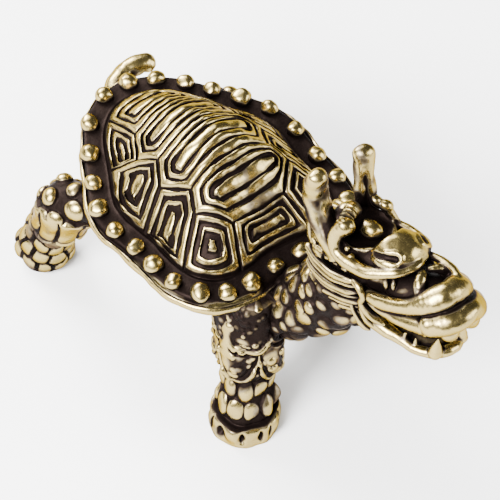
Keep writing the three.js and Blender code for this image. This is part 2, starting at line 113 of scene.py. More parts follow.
def add_camera():
    data = bpy.data.cameras.new("camera")
    data.sensor_width = SENSOR_WIDTH
    data.lens = SENSOR_WIDTH * CAMERA_DISTANCE / VIEW_WIDTH
    data.clip_start, data.clip_end = 0.01, 10.0
    camera = bpy.data.objects.new("camera", data)
    bpy.context.scene.collection.objects.link(camera)
    bpy.context.scene.camera = camera
    level = np.cos(VIEW_LIFT)
    back = np.array([-np.cos(VIEW_TURN) * level, -np.sin(VIEW_TURN) * level, np.sin(VIEW_LIFT)])
    right = np.array([np.sin(VIEW_TURN), -np.cos(VIEW_TURN), 0.0])
    eye = place(0, 0, 0) + back * CAMERA_DISTANCE
    aim = place(0, 0, 0) + right * AIM_RIGHT - np.cross(back, right) * AIM_DOWN
    back = (eye - aim) / np.linalg.norm(eye - aim)
    right = right - back * (right @ back)
    right /= np.linalg.norm(right)
    up = np.cross(back, right)
    rows = [[right[i], up[i], back[i], eye[i] * MM] for i in range(3)]
    camera.matrix_world = Matrix([*rows, [0, 0, 0, 1]])
    return camera


camera = add_camera()
print("lens", round(camera.data.lens, 1), "mm")

# %% [markdown]
# ## Shader maths as plain Python
#
# Wiring a shader by hand takes many lines. `Term` wraps one socket, and its plus, minus and
# times signs add Math nodes, so a formula reads as it would on paper. `Finish.node` adds any
# other node from its type, its settings and what goes into its sockets.

# %% A small shader language
def maths(operation, other_first=False):
    """An arithmetic sign that adds a Math node."""

    def reckon(term, other):
        first, second = (other, term) if other_first else (term, other)
        return term.finish.node("ShaderNodeMath", {"operation": operation}, {0: first, 1: second})

    return reckon


class Term:
    """The output of a shader node, which can be reckoned with like a number."""

    __add__, __radd__ = maths("ADD"), maths("ADD", True)
    __sub__, __rsub__ = maths("SUBTRACT"), maths("SUBTRACT", True)
    __mul__, __rmul__ = maths("MULTIPLY"), maths("MULTIPLY", True)
    at_most, at_least = maths("MINIMUM"), maths("MAXIMUM")

    def __init__(self, finish, socket):
        self.finish = finish
        self.socket = socket

    def held(self, low, high):
        """The value, kept between two limits."""
        return self.at_least(low).at_most(high)


class Finish:
    """A material under construction."""

    def __init__(self, name):
        self.material = bpy.data.materials.new(name)
        self.material.use_nodes = True
        self.tree = self.material.node_tree
        self.tree.nodes.clear()
        self.surface = self.tree.nodes.new("ShaderNodeBsdfPrincipled")
        output = self.tree.nodes.new("ShaderNodeOutputMaterial")
        self.tree.links.new(self.surface.outputs[0], output.inputs["Surface"])

    def feed(self, socket, value):
        if isinstance(value, Term):
            self.tree.links.new(value.socket, socket)
        else:
            socket.default_value = value

    def node(self, kind, settings, inputs, output=0):
        """Adds a node: its settings first, then its inputs by name or number."""
        node = self.tree.nodes.new(kind)
        for key, value in settings.items():
            if key == "stops":
                elements = node.color_ramp.elements
                while len(elements) < len(value):
                    elements.new(0.5)
                for element, (position, colour) in zip(elements, value):
                    element.position = position
                    element.color = (*colour, 1.0)
            else:
                setattr(node, key, value)
        for key, value in inputs.items():
            self.feed(node.inputs[key], value)
        return Term(self, node.outputs[output])

    def set(self, **values):
        for key, value in values.items():
            self.feed(self.surface.inputs[key.replace("_", " ")], value)


# %% [markdown]
# ## Antique brass
#
# Polished brass is pale gold. The bath that darkens it leaves a purple-black film, and the
# polishing wheel takes it off again wherever it can reach. So one number for each place on the
# mesh is enough, 0 on a rubbed crest and 1 deep in a groove. It is measured on the shape itself
# further down. The same number also carries painted shade: what faces down, sheltered and
# overhung places and the front of the dome are made darker through it. Noise breaks its edges
# up, as a wheel never rubs evenly, and a soft unevenness bends the reflections the way a cast
# surface does.

# %% Make the brass
POLISHED = (0.31, 0.238, 0.088)
WORN = (0.16, 0.13, 0.08)
STAINED = (0.05, 0.037, 0.022)
DARK_FILM = (0.006, 0.0038, 0.0034)
FILM_STOPS = [(0.0, POLISHED), (0.36, POLISHED), (0.5, WORN), (0.62, STAINED), (0.78, DARK_FILM)]
EDGE_SHEEN = (0.4, 0.32, 0.23, 1.0)  # where it is seen at a low angle it shines dim and brown
PER_MM = 1000.0  # noise scales are per metre


def antique_brass(name):
    finish = Finish(name)
    where = finish.node("ShaderNodeTexCoord", {}, {}, "Object")

    def noise(spots_per_mm, detail, roughness=0.55):
        inputs = {"Vector": where, "Scale": spots_per_mm * PER_MM, "Detail": detail}
        return finish.node("ShaderNodeTexNoise", {}, {**inputs, "Roughness": roughness}, "Fac")

    patina = finish.node("ShaderNodeAttribute", {"attribute_name": "patina"}, {}, "Fac")
    patches = noise(0.45, 2.0)
    specks = noise(3.2, 4.0, 0.65)
    film = (patina + (patches - 0.5) * 0.22 + (specks - 0.5) * 0.2).held(0.0, 1.0)
    dark = ((film - 0.4) * 3.0).held(0.0, 1.0)
    uneven = noise(0.8, 2.0) + noise(6.0, 3.0) * (0.06 + dark * 0.2)
    relief = {"Strength": 0.5, "Distance": 0.15 * MM, "Height": uneven}
    finish.set(
        Base_Color=finish.node("ShaderNodeValToRGB", {"stops": FILM_STOPS}, {"Fac": film}),
        Metallic=1.0 - dark * 0.3,
        Roughness=0.26 + dark * 0.22 + (specks - 0.5) * 0.16,
        Normal=finish.node("ShaderNodeBump", {}, relief),
        Specular_Tint=EDGE_SHEEN,
        Specular_IOR_Level=0.12,
    )
    return finish.material


brass = antique_brass("antique_brass")
print("finish", brass.name, "with", len(brass.node_tree.nodes), "nodes")

# %% [markdown]
# ## From rows of points to a finished piece
#
# Most of the figure is made of rows of points that run round something: a leg, a horn, the rim.
# `skin` puts faces between them and closes the ends. Every piece then goes through `finish_piece`,
# which measures its hollows. It smooths a copy of the surface the way a wheel runs over it, and
# sees how far each point lies below that: a groove comes out deep, a crest comes out proud.

# %% Helpers for meshes
WELD = 0.002  # points nearer than this become one


def smoothstep(low, high, value):
    share = np.clip((value - low) / (high - low), 0, 1)
    return share * share * (3 - 2 * share)


def bell(value, middle, width):
    """A smooth bump of height 1."""
    return np.exp(-(((value - middle) / width) ** 2))


def normalise(vectors):
    return vectors / np.maximum(np.linalg.norm(vectors, axis=-1, keepdims=True), 1e-9)


def skin(rings, closed_ends=True):
    """Points and faces of rows that run round. Each end closes to its row's middle."""
    rings = np.asarray(rings, float)
    rows, around = rings.shape[:2]
    start = np.arange(rows - 1)[:, None] * around
    here = np.arange(around)
    then = (here + 1) % around
    corners = [start + here, start + then, start + around + then, start + around + here]
    faces = [np.stack(corners, axis=-1).reshape(-1, 4)]
    points = rings.reshape(-1, 3)
    if closed_ends:
        first, base = len(points), (rows - 1) * around
        points = np.concatenate([points, rings[[0, -1]].mean(axis=1)])
        faces.append(np.stack([np.full(around, first), then, here], axis=-1))
        faces.append(np.stack([np.full(around, first + 1), base + here, base + then], axis=-1))
    return points, faces


def new_object(name, points, faces):
    """An object from millimetre points and lists of faces of equal size."""
    mesh = bpy.data.meshes.new(name)
    sizes = np.concatenate([np.full(len(f), f.shape[1]) for f in faces])
    corners = np.concatenate([f.ravel() for f in faces]).astype(np.int32)
    mesh.vertices.add(len(points))
    mesh.vertices.foreach_set("co", (points * MM).astype(np.float32).ravel())
    mesh.loops.add(len(corners))
    mesh.loops.foreach_set("vertex_index", corners)
    mesh.polygons.add(len(sizes))
    mesh.polygons.foreach_set("loop_start", (np.cumsum(sizes) - sizes).astype(np.int32))
    mesh.update(calc_edges=True)
    mesh.validate()
    made = bpy.data.objects.new(name, mesh)
    bpy.context.scene.collection.objects.link(made)
    return made


def tidy_mesh(mesh):
    """Welds points that lie on each other and turns the faces outwards."""
    work = bmesh.new()
    work.from_mesh(mesh)
    bmesh.ops.remove_doubles(work, verts=work.verts, dist=WELD * MM)
    bmesh.ops.recalc_face_normals(work, faces=work.faces)
    if work.calc_volume(signed=True) < 0:
        bmesh.ops.reverse_faces(work, faces=work.faces)
    work.to_mesh(mesh)
    work.free()


def mesh_arrays(mesh):
    """Points in millimetres and triangles."""
    points = np.empty(len(mesh.vertices) * 3, np.float32)
    mesh.vertices.foreach_get("co", points)
    mesh.calc_loop_triangles()
    triangles = np.empty(len(mesh.loop_triangles) * 3, np.int32)
    mesh.loop_triangles.foreach_get("vertices", triangles)
    return points.reshape(-1, 3).astype(float) / MM, triangles.reshape(-1, 3)


def point_normals(points, triangles):
    corners = points[triangles]
    across = np.cross(corners[:, 1] - corners[:, 0], corners[:, 2] - corners[:, 0])
    total = np.zeros_like(points)
    for corner in range(3):
        for axis in range(3):
            total[:, axis] += np.bincount(triangles[:, corner], across[:, axis], len(points))
    return normalise(total)


def along_normals(points, faces, relief):
    """Points moved out along their normals by a relief."""
    triangles = [f[:, [0, 1, 2]] for f in faces] + [f[:, [0, 2, 3]] for f in faces if f.shape[1] == 4]
    return points + point_normals(points, np.concatenate(triangles)) * relief[:, None]


# %% Measure the hollows and finish a piece
PATINA_REST = 0.26  # patina of a surface that is neither hollow nor proud
WHEEL_REACH = 0.4  # how wide the polishing wheel bridges a groove
GAIN = 6.0  # patina for each millimetre of depth
MOST_RUBBED, MOST_FILLED = -0.25, 0.7  # limits of what the depth does
PATCHY = 0.12  # how much the patina varies from place to place
UNDERSIDE_SHADE = 0.26  # how much darker what faces down is made: painted shade, with some film left there too
HAND_DENTS = 0.055  # how deep the dents are, of the kind that fingers leave in wax

pieces = []


def hollows(points, triangles):
    """How far each point lies below the surface smoothed over the wheel's reach."""
    pairs = np.concatenate([triangles[:, [0, 1]], triangles[:, [1, 2]], triangles[:, [2, 0]]])
    a, b = np.unique(np.sort(pairs, axis=1), axis=0).T
    step = np.linalg.norm(points[a] - points[b], axis=1).mean()
    passes = int(np.clip(2 * (WHEEL_REACH / step) ** 2, 2, 60))
    count = len(points)
    neighbours = np.maximum(np.bincount(a, minlength=count) + np.bincount(b, minlength=count), 1)
    smooth = points.copy()
    for _ in range(passes):
        for axis in range(3):
            values = smooth[:, axis]
            total = np.bincount(a, values[b], count) + np.bincount(b, values[a], count)
            smooth[:, axis] = 0.5 * values + 0.5 * total / neighbours
    return ((smooth - points) * point_normals(points, triangles)).sum(axis=1)


def lumps(points, width, seed):
    """Smooth random swellings, mostly between -1 and 1, each about as wide as told."""
    random = np.random.default_rng(seed)
    total = np.zeros(len(points))
    for _ in range(9):
        direction = normalise(random.normal(size=3))
        pitch = np.pi / width * random.uniform(0.6, 1.3)
        total += np.sin(points @ direction * pitch + random.uniform(0, ROUND))
    return total / 4


def patina_and_shade_of(mesh):
    """The patina and painted shade at each point, 0 where none was set."""
    values = np.zeros(len(mesh.vertices), np.float32)
    if "patina" in mesh.attributes:
        mesh.attributes["patina"].data.foreach_get("value", values)
    return values


def set_patina_and_shade(mesh, values):
    if "patina" not in mesh.attributes:
        mesh.attributes.new("patina", "FLOAT", "POINT")
    values = np.broadcast_to(values, len(mesh.vertices))
    mesh.attributes["patina"].data.foreach_set("value", values.astype(np.float32))


def finish_piece(made):
    """Gives a piece its patina and painted shade, its dents, its finish and its place in the frame."""
    mesh = made.data
    points, triangles = mesh_arrays(mesh)
    normals = point_normals(points, triangles)
    depth = np.clip(GAIN * hollows(points, triangles), MOST_RUBBED, MOST_FILLED)
    uneven = PATCHY * lumps(points, 2.0, 21)
    # What faces down is painted darker here: painted shade, with some film left there too.
    uneven = uneven + UNDERSIDE_SHADE * (1 - smoothstep(-0.6, 0.5, normals[:, 2]))
    set_patina_and_shade(mesh, PATINA_REST + patina_and_shade_of(mesh) + depth + uneven)
    dents = HAND_DENTS * (lumps(points, 1.1, 31) + 0.4 * lumps(points, 0.55, 32))
    points = points + normals * dents[:, None]
    points[:, 2] = np.maximum(points[:, 2], 0)
    mesh.vertices.foreach_set("co", (points * MM).astype(np.float32).ravel())
    mesh.update()
    mesh.materials.clear()
    mesh.materials.append(brass)
    mesh.shade_smooth()
    pieces.append(made)
    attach(made, "root")
    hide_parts(NODE)
    print(made.name, len(triangles), "triangles")
    return made


def piece(name, points, faces, film=0.0):
    """A finished piece. Film is the patina, in places with painted shade, that its maker adds to some of its
    points.
    """
    made = new_object(name, points, faces)
    set_patina_and_shade(made.data, film)
    tidy_mesh(made.data)
    return finish_piece(made)


# %% [markdown]
# ## Paths and tubes
#
# A limb follows a few stations. A smooth curve through them carries the limb's middle and its
# half-widths together, and `tube` sets rows of points round it. The relief is a function of how
# far along and how far round a point is, so a groove can be carved straight into the rows.

# %% Helpers for paths
def smooth_path(stations, count):
    """A Catmull-Rom curve through stations of any number of values, evenly spaced by length."""
    stations = np.asarray(stations, float)
    before, after = 2 * stations[0] - stations[1], 2 * stations[-1] - stations[-2]
    padded = np.concatenate([[before], stations, [after]])
    spans = len(stations) - 1
    t = np.linspace(0, spans, 40 * spans + 1)
    i = np.minimum(t.astype(int), spans - 1)
    f = (t - i)[:, None]
    p0, p1, p2, p3 = (padded[i + k] for k in range(4))
    bend = (2 * p0 - 5 * p1 + 4 * p2 - p3) * f**2 + (3 * p1 - p0 - 3 * p2 + p3) * f**3
    fine = 0.5 * (2 * p1 + (p2 - p0) * f + bend)
    steps = np.linalg.norm(np.diff(fine[:, :3], axis=0), axis=1)
    lengths = np.concatenate([[0], np.cumsum(steps)])
    even = np.linspace(0, lengths[-1], count)
    return np.stack([np.interp(even, lengths, column) for column in fine.T], axis=1), lengths[-1]


def tube(stations, along, around, side=(1, 0, 0), relief=None, blunt_end=False):
    """Rows round a path. A station is a point, a half-width to the side and one across it."""
    path, length = smooth_path(stations, along)
    middle, widths = path[:, :3], path[:, 3:5].copy()
    direction = normalise(np.gradient(middle, axis=0))
    side = np.asarray(side, float)
    first = normalise(side - direction * (direction @ side)[:, None])
    second = np.cross(direction, first)
    turn = np.linspace(0, ROUND, around, endpoint=False)
    s = np.linspace(0, length, along)
    if blunt_end:
        share = np.clip((length - s) / widths[-1].mean(), 0, 1)
        widths *= np.sqrt(np.maximum(1 - (1 - share) ** 2, 1e-4))[:, None]
    lift = np.zeros((along, around))
    if relief:
        lift = relief(s[:, None], turn[None, :], length) * np.clip(widths.min(axis=1) / 0.3, 0, 1)[:, None]
    aside = (widths[:, :1] + lift) * np.cos(turn)
    across = (widths[:, 1:2] + lift) * np.sin(turn)
    return middle[:, None] + aside[..., None] * first[:, None] + across[..., None] * second[:, None]


# %% [markdown]
# ## Carving in wax
#
# A dragon's head is all swellings that run into each other, which rows of points can't follow.
# So it is carved the way a founder might do it, in a block of wax. The block is a grid of numbers,
# each the distance to the nearest surface. Adding a ball or a rope of wax takes the smaller of
# two distances, with the join melted over a chosen width, and cutting takes the larger. At the
# end the wax is lifted off the grid as a mesh.

# %% A block of wax
FAR = 9.0


class Wax:
    """A block of wax on a grid of cells, in its own millimetres."""

    def __init__(self, low, high, cell):
        self.low = np.asarray(low, float)
        self.cell = cell
        counts = np.ceil((np.asarray(high, float) - self.low) / cell).astype(int) + 1
        self.axes = [self.low[a] + cell * np.arange(counts[a]) for a in range(3)]
        self.field = np.full(counts, FAR, np.float32)

    def window(self, low, high):
        """The cells between two corners, and where they lie along each axis."""
        cuts = []
        for a in range(3):
            count = len(self.axes[a])
            start = int(np.clip(np.floor((low[a] - self.low[a]) / self.cell), 0, count))
            stop = int(np.clip(np.ceil((high[a] - self.low[a]) / self.cell) + 1, 0, count))
            cuts.append(slice(start, stop))
        x, y, z = (self.axes[a][cuts[a]].astype(np.float32) for a in range(3))
        return tuple(cuts), (x[:, None, None], y[None, :, None], z[None, None, :])

    def melt(self, cuts, distance, soft, cut):
        """Adds a shape to the block or cuts it away. What is cut is added to the empty side."""
        side = -1 if cut else 1
        old = self.field[cuts] * side
        near = np.maximum(soft - np.abs(old - distance), 0) / soft
        self.field[cuts] = (np.minimum(old, distance) - near * near * soft * 0.25) * side

    def ball(self, centre, radii, soft=0.3, cut=False):
        """An egg with its own half-lengths."""
        centre, radii = np.asarray(centre, float), np.asarray(radii, float)
        margin = radii + soft + 2 * self.cell
        cuts, (x, y, z) = self.window(centre - margin, centre + margin)
        x, y, z = x - centre[0], y - centre[1], z - centre[2]
        a, b, c = radii
        near = np.sqrt((x / a) ** 2 + (y / b) ** 2 + (z / c) ** 2)
        slope = np.sqrt((x / a**2) ** 2 + (y / b**2) ** 2 + (z / c**2) ** 2)
        self.melt(cuts, near * (near - 1) / np.maximum(slope, 1e-6), soft, cut)

    def rope(self, stations, soft=0.3, cut=False, step=0.3):
        """A round rope through stations of a point and a radius."""
        stations = np.asarray(stations, float)
        length = np.linalg.norm(np.diff(stations[:, :3], axis=0), axis=1).sum()
        path, _ = smooth_path(stations, max(2, int(length / step) + 1))
        margin = path[:, 3].max() + soft + 2 * self.cell
        low, high = path[:, :3].min(axis=0), path[:, :3].max(axis=0)
        cuts, _ = self.window(low - margin, high + margin)
        rope = np.full(self.field[cuts].shape, FAR, np.float32)
        for a, b in zip(path[:-1], path[1:]):
            reach = max(a[3], b[3]) + soft + 2 * self.cell
            low, high = np.minimum(a, b)[:3], np.maximum(a, b)[:3]
            inner, (x, y, z) = self.window(low - reach, high + reach)
            local = tuple(slice(i.start - c.start, i.stop - c.start) for i, c in zip(inner, cuts))
            x, y, z = x - a[0], y - a[1], z - a[2]
            run = b[:3] - a[:3]
            share = np.clip((x * run[0] + y * run[1] + z * run[2]) / max(run @ run, 1e-9), 0, 1)
            aside = [v - run[k] * share for k, v in enumerate((x, y, z))]
            gap = np.sqrt(aside[0] ** 2 + aside[1] ** 2 + aside[2] ** 2)
            np.minimum(rope[local], gap - (a[3] + (b[3] - a[3]) * share), out=rope[local])
        self.melt(cuts, rope, soft, cut)

    def below(self, height):
        """Cuts everything under a height flat."""
        self.field = np.maximum(self.field, height - self.axes[2].astype(np.float32))

    def mirrored(self):
        """The block with its other half, for one carved only from its second axis' zero up."""
        self.field = np.concatenate([self.field[:, :0:-1], self.field], axis=1)
        self.low[1] -= self.cell * (self.field.shape[1] // 2)
        self.axes[1] = self.low[1] + self.cell * np.arange(self.field.shape[1])

    def lift(self):
        """The surface as points and quads: one point in each cell that the surface crosses."""
        field = np.pad(self.field, 1, constant_values=FAR)
        inside = field < 0
        n = np.array(field.shape) - 1
        total = np.zeros(n, np.int8)
        for corner in np.ndindex(2, 2, 2):
            total += inside[tuple(slice(c, c + m) for c, m in zip(corner, n))]
        cells = np.argwhere((total > 0) & (total < 8))
        index = np.full(n, -1, np.int32)
        index[tuple(cells.T)] = np.arange(len(cells))
        sums = np.zeros((len(cells), 3))
        counts = np.zeros(len(cells))
        for axis in range(3):
            others = [a for a in range(3) if a != axis]
            for offsets in np.ndindex(2, 2):
                start = np.zeros(3, int)
                start[others] = offsets
                end = start.copy()
                end[axis] = 1
                value = field[tuple((cells + start).T)]
                other = field[tuple((cells + end).T)]
                crossing = (value < 0) != (other < 0)
                spot = np.tile(start.astype(float), (len(cells), 1))
                spot[:, axis] = np.where(crossing, value / np.where(crossing, value - other, 1), 0)
                sums += spot * crossing[:, None]
                counts += crossing
        points = self.low + (cells + sums / counts[:, None] - 1) * self.cell
        quads = []
        for axis in range(3):
            u, v = [a for a in range(3) if a != axis]
            layers = np.moveaxis(inside, axis, 0)
            edges = np.argwhere(layers[:-1] != layers[1:])
            outward = layers[:-1][tuple(edges.T)]
            spots = np.empty_like(edges)
            spots[:, [axis, u, v]] = edges
            ring = []
            for du, dv in ((-1, -1), (0, -1), (0, 0), (-1, 0)):
                cell = spots.copy()
                cell[:, u] += du
                cell[:, v] += dv
                ring.append(index[tuple(cell.T)])
            quad = np.stack(ring, axis=1)
            turned = ~outward if axis != 1 else outward
            quad[turned] = quad[turned][:, ::-1]
            quads.append(quad)
        return points, np.concatenate(quads)


# %% [markdown]
# ## Scales by nearest seed
#
# Scales that touch each other share straight borders, like soap bubbles. If each scale has a
# seed at its middle, the border lies where the two nearest seeds are equally far. `pebbles`
# finds that distance for every point and sinks the borders. Scales that stand apart on a lower
# ground need only their own seed: `caps` raises a round cap over each.

# %% Helpers for scales
def seed_distances(points, seeds, block=20000):
    """Distances to the nearest and the second nearest seed, and which seed is the nearest."""
    near = np.empty((len(points), 2))
    owner = np.empty(len(points), int)
    for start in range(0, len(points), block):
        part = slice(start, start + block)
        gaps = ((points[part, None, :] - seeds[None, :, :]) ** 2).sum(axis=2)
        near[part] = np.sqrt(np.partition(gaps, 1, axis=1)[:, :2])
        owner[part] = gaps.argmin(axis=1)
    return near[:, 0], near[:, 1], owner


def pebbles(points, seeds, groove, depth, crown, size):
    """Relief of crowned scales, sunk along their borders, and how deep in a border a point is."""
    first, second, _ = seed_distances(points, seeds)
    sunk = 1 - smoothstep(groove * 0.3, groove, (second - first) * 0.5)
    round_top = np.clip(1 - (first / size) ** 2, 0, 1)
    return crown * round_top * (1 - sunk) - depth * sunk, smoothstep(0.4, 0.9, sunk)


def caps(points, seeds, size, height, random_seed):
    """Relief of round caps of uneven sizes, and how high on its cap a point is, from 0 to 1."""
    first, _, owner = seed_distances(points, seeds)
    uneven = np.random.default_rng(random_seed).uniform(0.75, 1.15, len(seeds))
    cap = np.clip(1 - (first / (size * uneven[owner])) ** 2, 0, 1)
    return height * cap**0.6, cap


def scale_rows(path, length, row_spacing, scale_width, side, jitter, seed):
    """Seeds in staggered rows round a limb. The path's fourth and fifth values are half-widths."""
    random = np.random.default_rng(seed)
    rows = max(2, int(length / row_spacing))
    direction = normalise(np.gradient(path[:, :3], axis=0))
    side = np.asarray(side, float)
    seeds = []
    for row in range(rows + 1):
        i = min(len(path) - 1, int(round((len(path) - 1) * row / rows)))
        point, widths, along = path[i, :3], path[i, 3:5], direction[i]
        first = normalise(side - along * (along @ side))
        second = np.cross(along, first)
        count = max(4, int(round(ROUND * widths.mean() / scale_width)))
        turn = ROUND * (np.arange(count) + 0.5 * (row % 2)) / count
        turn = turn + random.uniform(-jitter, jitter, count) / max(widths.mean(), 0.3)
        shift = random.uniform(-jitter, jitter, count)[:, None] * along
        aside = np.cos(turn)[:, None] * widths[0] * first
        seeds.append(point + aside + np.sin(turn)[:, None] * widths[1] * second + shift)
    return np.concatenate(seeds)


# %% [markdown]
# ## The shell's outline
#
# Seen from above the shell is egg-shaped, wider in front, with its corners a little squared. A
# mean radius and six cosine waves describe it, and everything on the shell uses the same line:
# the studs sit on it, the rim runs outside it and the dome starts inside it.

# %% Outline and dome
OUTLINE_MEAN = 10.19
OUTLINE_WAVES = (0.68, 1.2, 0.76, -0.12, 0.56, 0.04)
DOME_INSET = 1.44
DOME_HEIGHT = 7.1
DOME_STEP = 0.25  # upright edge at the dome's foot
DOME_FULLNESS = 1.6  # 2 would be a parabola, 1 a cone
RIM_THICKNESS = 1.15


def stud_line(turn):
    """Distance from the shell's middle to the studs. Turn 0 is the rear, growing to the left."""
    return OUTLINE_MEAN + sum(wave * np.cos((k + 1) * turn) for k, wave in enumerate(OUTLINE_WAVES))


def on_outline(turn, outward, up):
    reach = stud_line(turn) + outward
    return place(-reach * np.cos(turn), reach * np.sin(turn), up)


def dome_up(ahead, left):
    reach = stud_line(np.arctan2(left, -ahead)) - DOME_INSET
    share = np.minimum(1, np.hypot(ahead, left) / reach)
    return DOME_STEP + (DOME_HEIGHT - DOME_STEP) * (1 - share**DOME_FULLNESS)


# %% [markdown]
# ## The carved dome
#
# Thirteen scutes cover the dome: five down the middle and four on each side. In each one, rounded
# ribs run round a short bar, with narrow dark grooves between them, and their corners soften
# towards the middle. A ring of points round a scute can be slid from its border to its bar, so
# the carving is one profile across that slide. Neighbours share the points of their seam, which
# welds them into one skin.

# %% Where the scutes lie
MEETS = {
    # corners where scutes meet, ahead and left of the shell's middle
    "rear": (-6.35, 3.1),
    "rear_side": (-4.15, 4.5),
    "rear_middle": (-2.25, 3.9),
    "middle_side": (-0.45, 5.05),
    "front_middle": (1.95, 3.8),
    "front_side": (3.5, 4.6),
    "front": (5.75, 2.5),
}
FOOT_TURNS = {"rear": 14.0, "rear_side": 41.5, "middle_side": 93.5, "front_side": 127.0, "front": 157.0}
POINT_SPACING = 0.15


def foot_point(degrees):
    turn = np.radians(degrees)
    reach = stud_line(turn) - DOME_INSET
    return np.stack([-reach * np.cos(turn), reach * np.sin(turn)], axis=-1)


def mirror(point):
    return (point[0], -point[1])


def seam(start, end):
    """Points along a seam, the same whichever way it is walked, without the last one."""
    swapped = start > end
    low, high = np.array(end if swapped else start), np.array(start if swapped else end)
    parts = max(2, round(float(np.linalg.norm(high - low)) / POINT_SPACING))
    line = low + (high - low) * np.linspace(0, 1, parts + 1)[:, None]
    return (line[::-1] if swapped else line)[:-1]


def foot(start, end):
    """Points along the dome's foot between two turns, without the last one."""
    parts = max(2, round(abs(end - start) * np.pi / 180 * OUTLINE_MEAN / POINT_SPACING))
    return foot_point(np.linspace(start, end, parts + 1))[:-1]


def as_point(corner):
    """A corner as a point. A number is a turn at the foot, in degrees."""
    return tuple(foot_point(corner)) if isinstance(corner, float) else corner


def scute(corners, bar):
    """The border of a scute from its corners, and its bar."""
    line = []
    for here, then in zip(corners, corners[1:] + corners[:1]):
        if isinstance(here, float) and isinstance(then, float):
            line.append(foot(here, then))
        else:
            line.append(seam(as_point(here), as_point(then)))
    return np.concatenate(line), np.asarray(bar, float)


def middle_scute(back, side, front, bar):
    left = [MEETS[back], MEETS[side], MEETS[front]]
    return scute(left + [mirror(point) for point in reversed(left)], bar)


def side_scute(upper, turns, bar):
    return scute([MEETS[name] for name in upper] + [FOOT_TURNS[name] for name in turns], bar)


def all_scutes():
    rear, front = MEETS["rear"], MEETS["front"]
    rear_turn, front_turn = FOOT_TURNS["rear"], FOOT_TURNS["front"]
    along_spine = [
        scute([rear, mirror(rear), -rear_turn, 0.0, rear_turn], [(-8.6, -1.6), (-8.6, 1.6)]),
        middle_scute("rear", "rear_side", "rear_middle", [(-4.35, -2.95), (-4.5, 2.95)]),
        middle_scute("rear_middle", "middle_side", "front_middle", [(-0.25, -3.4), (-0.6, 3.35)]),
        middle_scute("front_middle", "front_side", "front", [(3.75, -2.5), (3.5, 3.2)]),
        scute([mirror(front), front, front_turn, 360 - front_turn], [(6.6, -0.9), (6.7, 1.4)]),
    ]
    outer, inner = ["rear_side", "rear_middle", "middle_side"], ["middle_side", "front_middle", "front_side"]
    left = [
        side_scute(["rear", "rear_side"], ["rear_side", "rear"], [(-6.6, 4.2), (-5.6, 4.8)]),
        side_scute(outer, ["middle_side", "rear_side"], [(-2.5, 5.3), (-2.3, 6.4)]),
        side_scute(inner, ["front_side", "middle_side"], [(1.9, 5.5), (2.3, 6.6)]),
        side_scute(["front_side", "front"], ["front", "front_side"], [(5.85, 4.7), (6.0, 4.95)]),
    ]
    turned = np.array([1, -1])
    return along_spine + left + [(edge * turned, bar * turned) for edge, bar in left]


scutes = all_scutes()
print(len(scutes), "scutes,", sum(len(edge) for edge, _ in scutes), "points on their borders")

# %% Carve the dome
GROOVE_DEPTH = 0.4
GROOVE_HALF = 0.085
GROOVE_MIDDLES = (0.0, 0.38, 0.73, 1.27)  # shares of the way from border to bar, and past it
CARVING_LIFT = 0.05  # how far the ribs stand above the plain dome
RINGS = 58


def by_hand(flat):
    """A slow wobble, the same for neighbours, as of a tool held freely."""
    return np.sin(flat[:, 0] * 2.1 + 1.3 * np.sin(flat[:, 1] * 1.7)) * np.sin(flat[:, 1] * 2.6 + 0.7)


def groove_profile(share, run, wobble, ends, costal):
    """Share of the full depth at a share of the run, which is the way in from border to bar."""
    k = int(np.searchsorted(GROOVE_MIDDLES[1:-1], share, side="right"))
    low, high = GROOVE_MIDDLES[k], GROOVE_MIDDLES[k + 1]
    middle = (low + high) / 2
    groove = GROOVE_HALF * (1 + 0.25 * wobble) * (1.0 + 0.75 * costal)
    wider = 1.2 * (share > middle) if k == 1 else 0.8 * (k == 2)
    half = np.maximum((high - low) / 2 * run - groove * (1 + wider * ends), 0.1)
    across = np.abs(share - middle) * run / half
    return 1 - np.maximum(0, 1 - across**2.6) ** 0.5


def nearest_on_bar(points, bar):
    run = bar[1] - bar[0]
    share = np.clip((points - bar[0]) @ run / (run @ run), 0, 1)
    return bar[0] + run * share[:, None], share


def softened(edge, passes):
    for _ in range(passes):
        edge = (np.roll(edge, 1, axis=0) + 2 * edge + np.roll(edge, -1, axis=0)) / 4
    return edge


def carve_scute(edge, bar, costal):
    """Rows of points from a scute's border in to its bar, and how deep each was carved."""
    soft = softened(edge, 4 if costal else 30)
    snaps = max(1, round(np.linalg.norm(bar[1] - bar[0]) / POINT_SPACING))
    rings, carved = [], []
    for share in np.linspace(0, 1, RINGS):
        start = edge + (soft - edge) * smoothstep(0.1, 0.5, share)
        near, along = nearest_on_bar(start, bar)
        ends = smoothstep(0.3, 0.5, np.abs(along - 0.5))
        run = np.linalg.norm(near - start, axis=1)
        if share == 1:
            near = bar[0] + (bar[1] - bar[0]) * (np.round(along * snaps) / snaps)[:, None]
        flat = start + (near - start) * share
        depth = groove_profile(share, run, by_hand(flat), ends, costal)
        dents = 0.035 * by_hand(flat * 1.3) * (1 - depth)
        up = dome_up(flat[:, 0], flat[:, 1]) - GROOVE_DEPTH * depth + CARVING_LIFT + dents
        rings.append(place(flat[:, 0], flat[:, 1], up))
        carved.append(depth)
    return skin(rings, closed_ends=False), np.concatenate(carved)


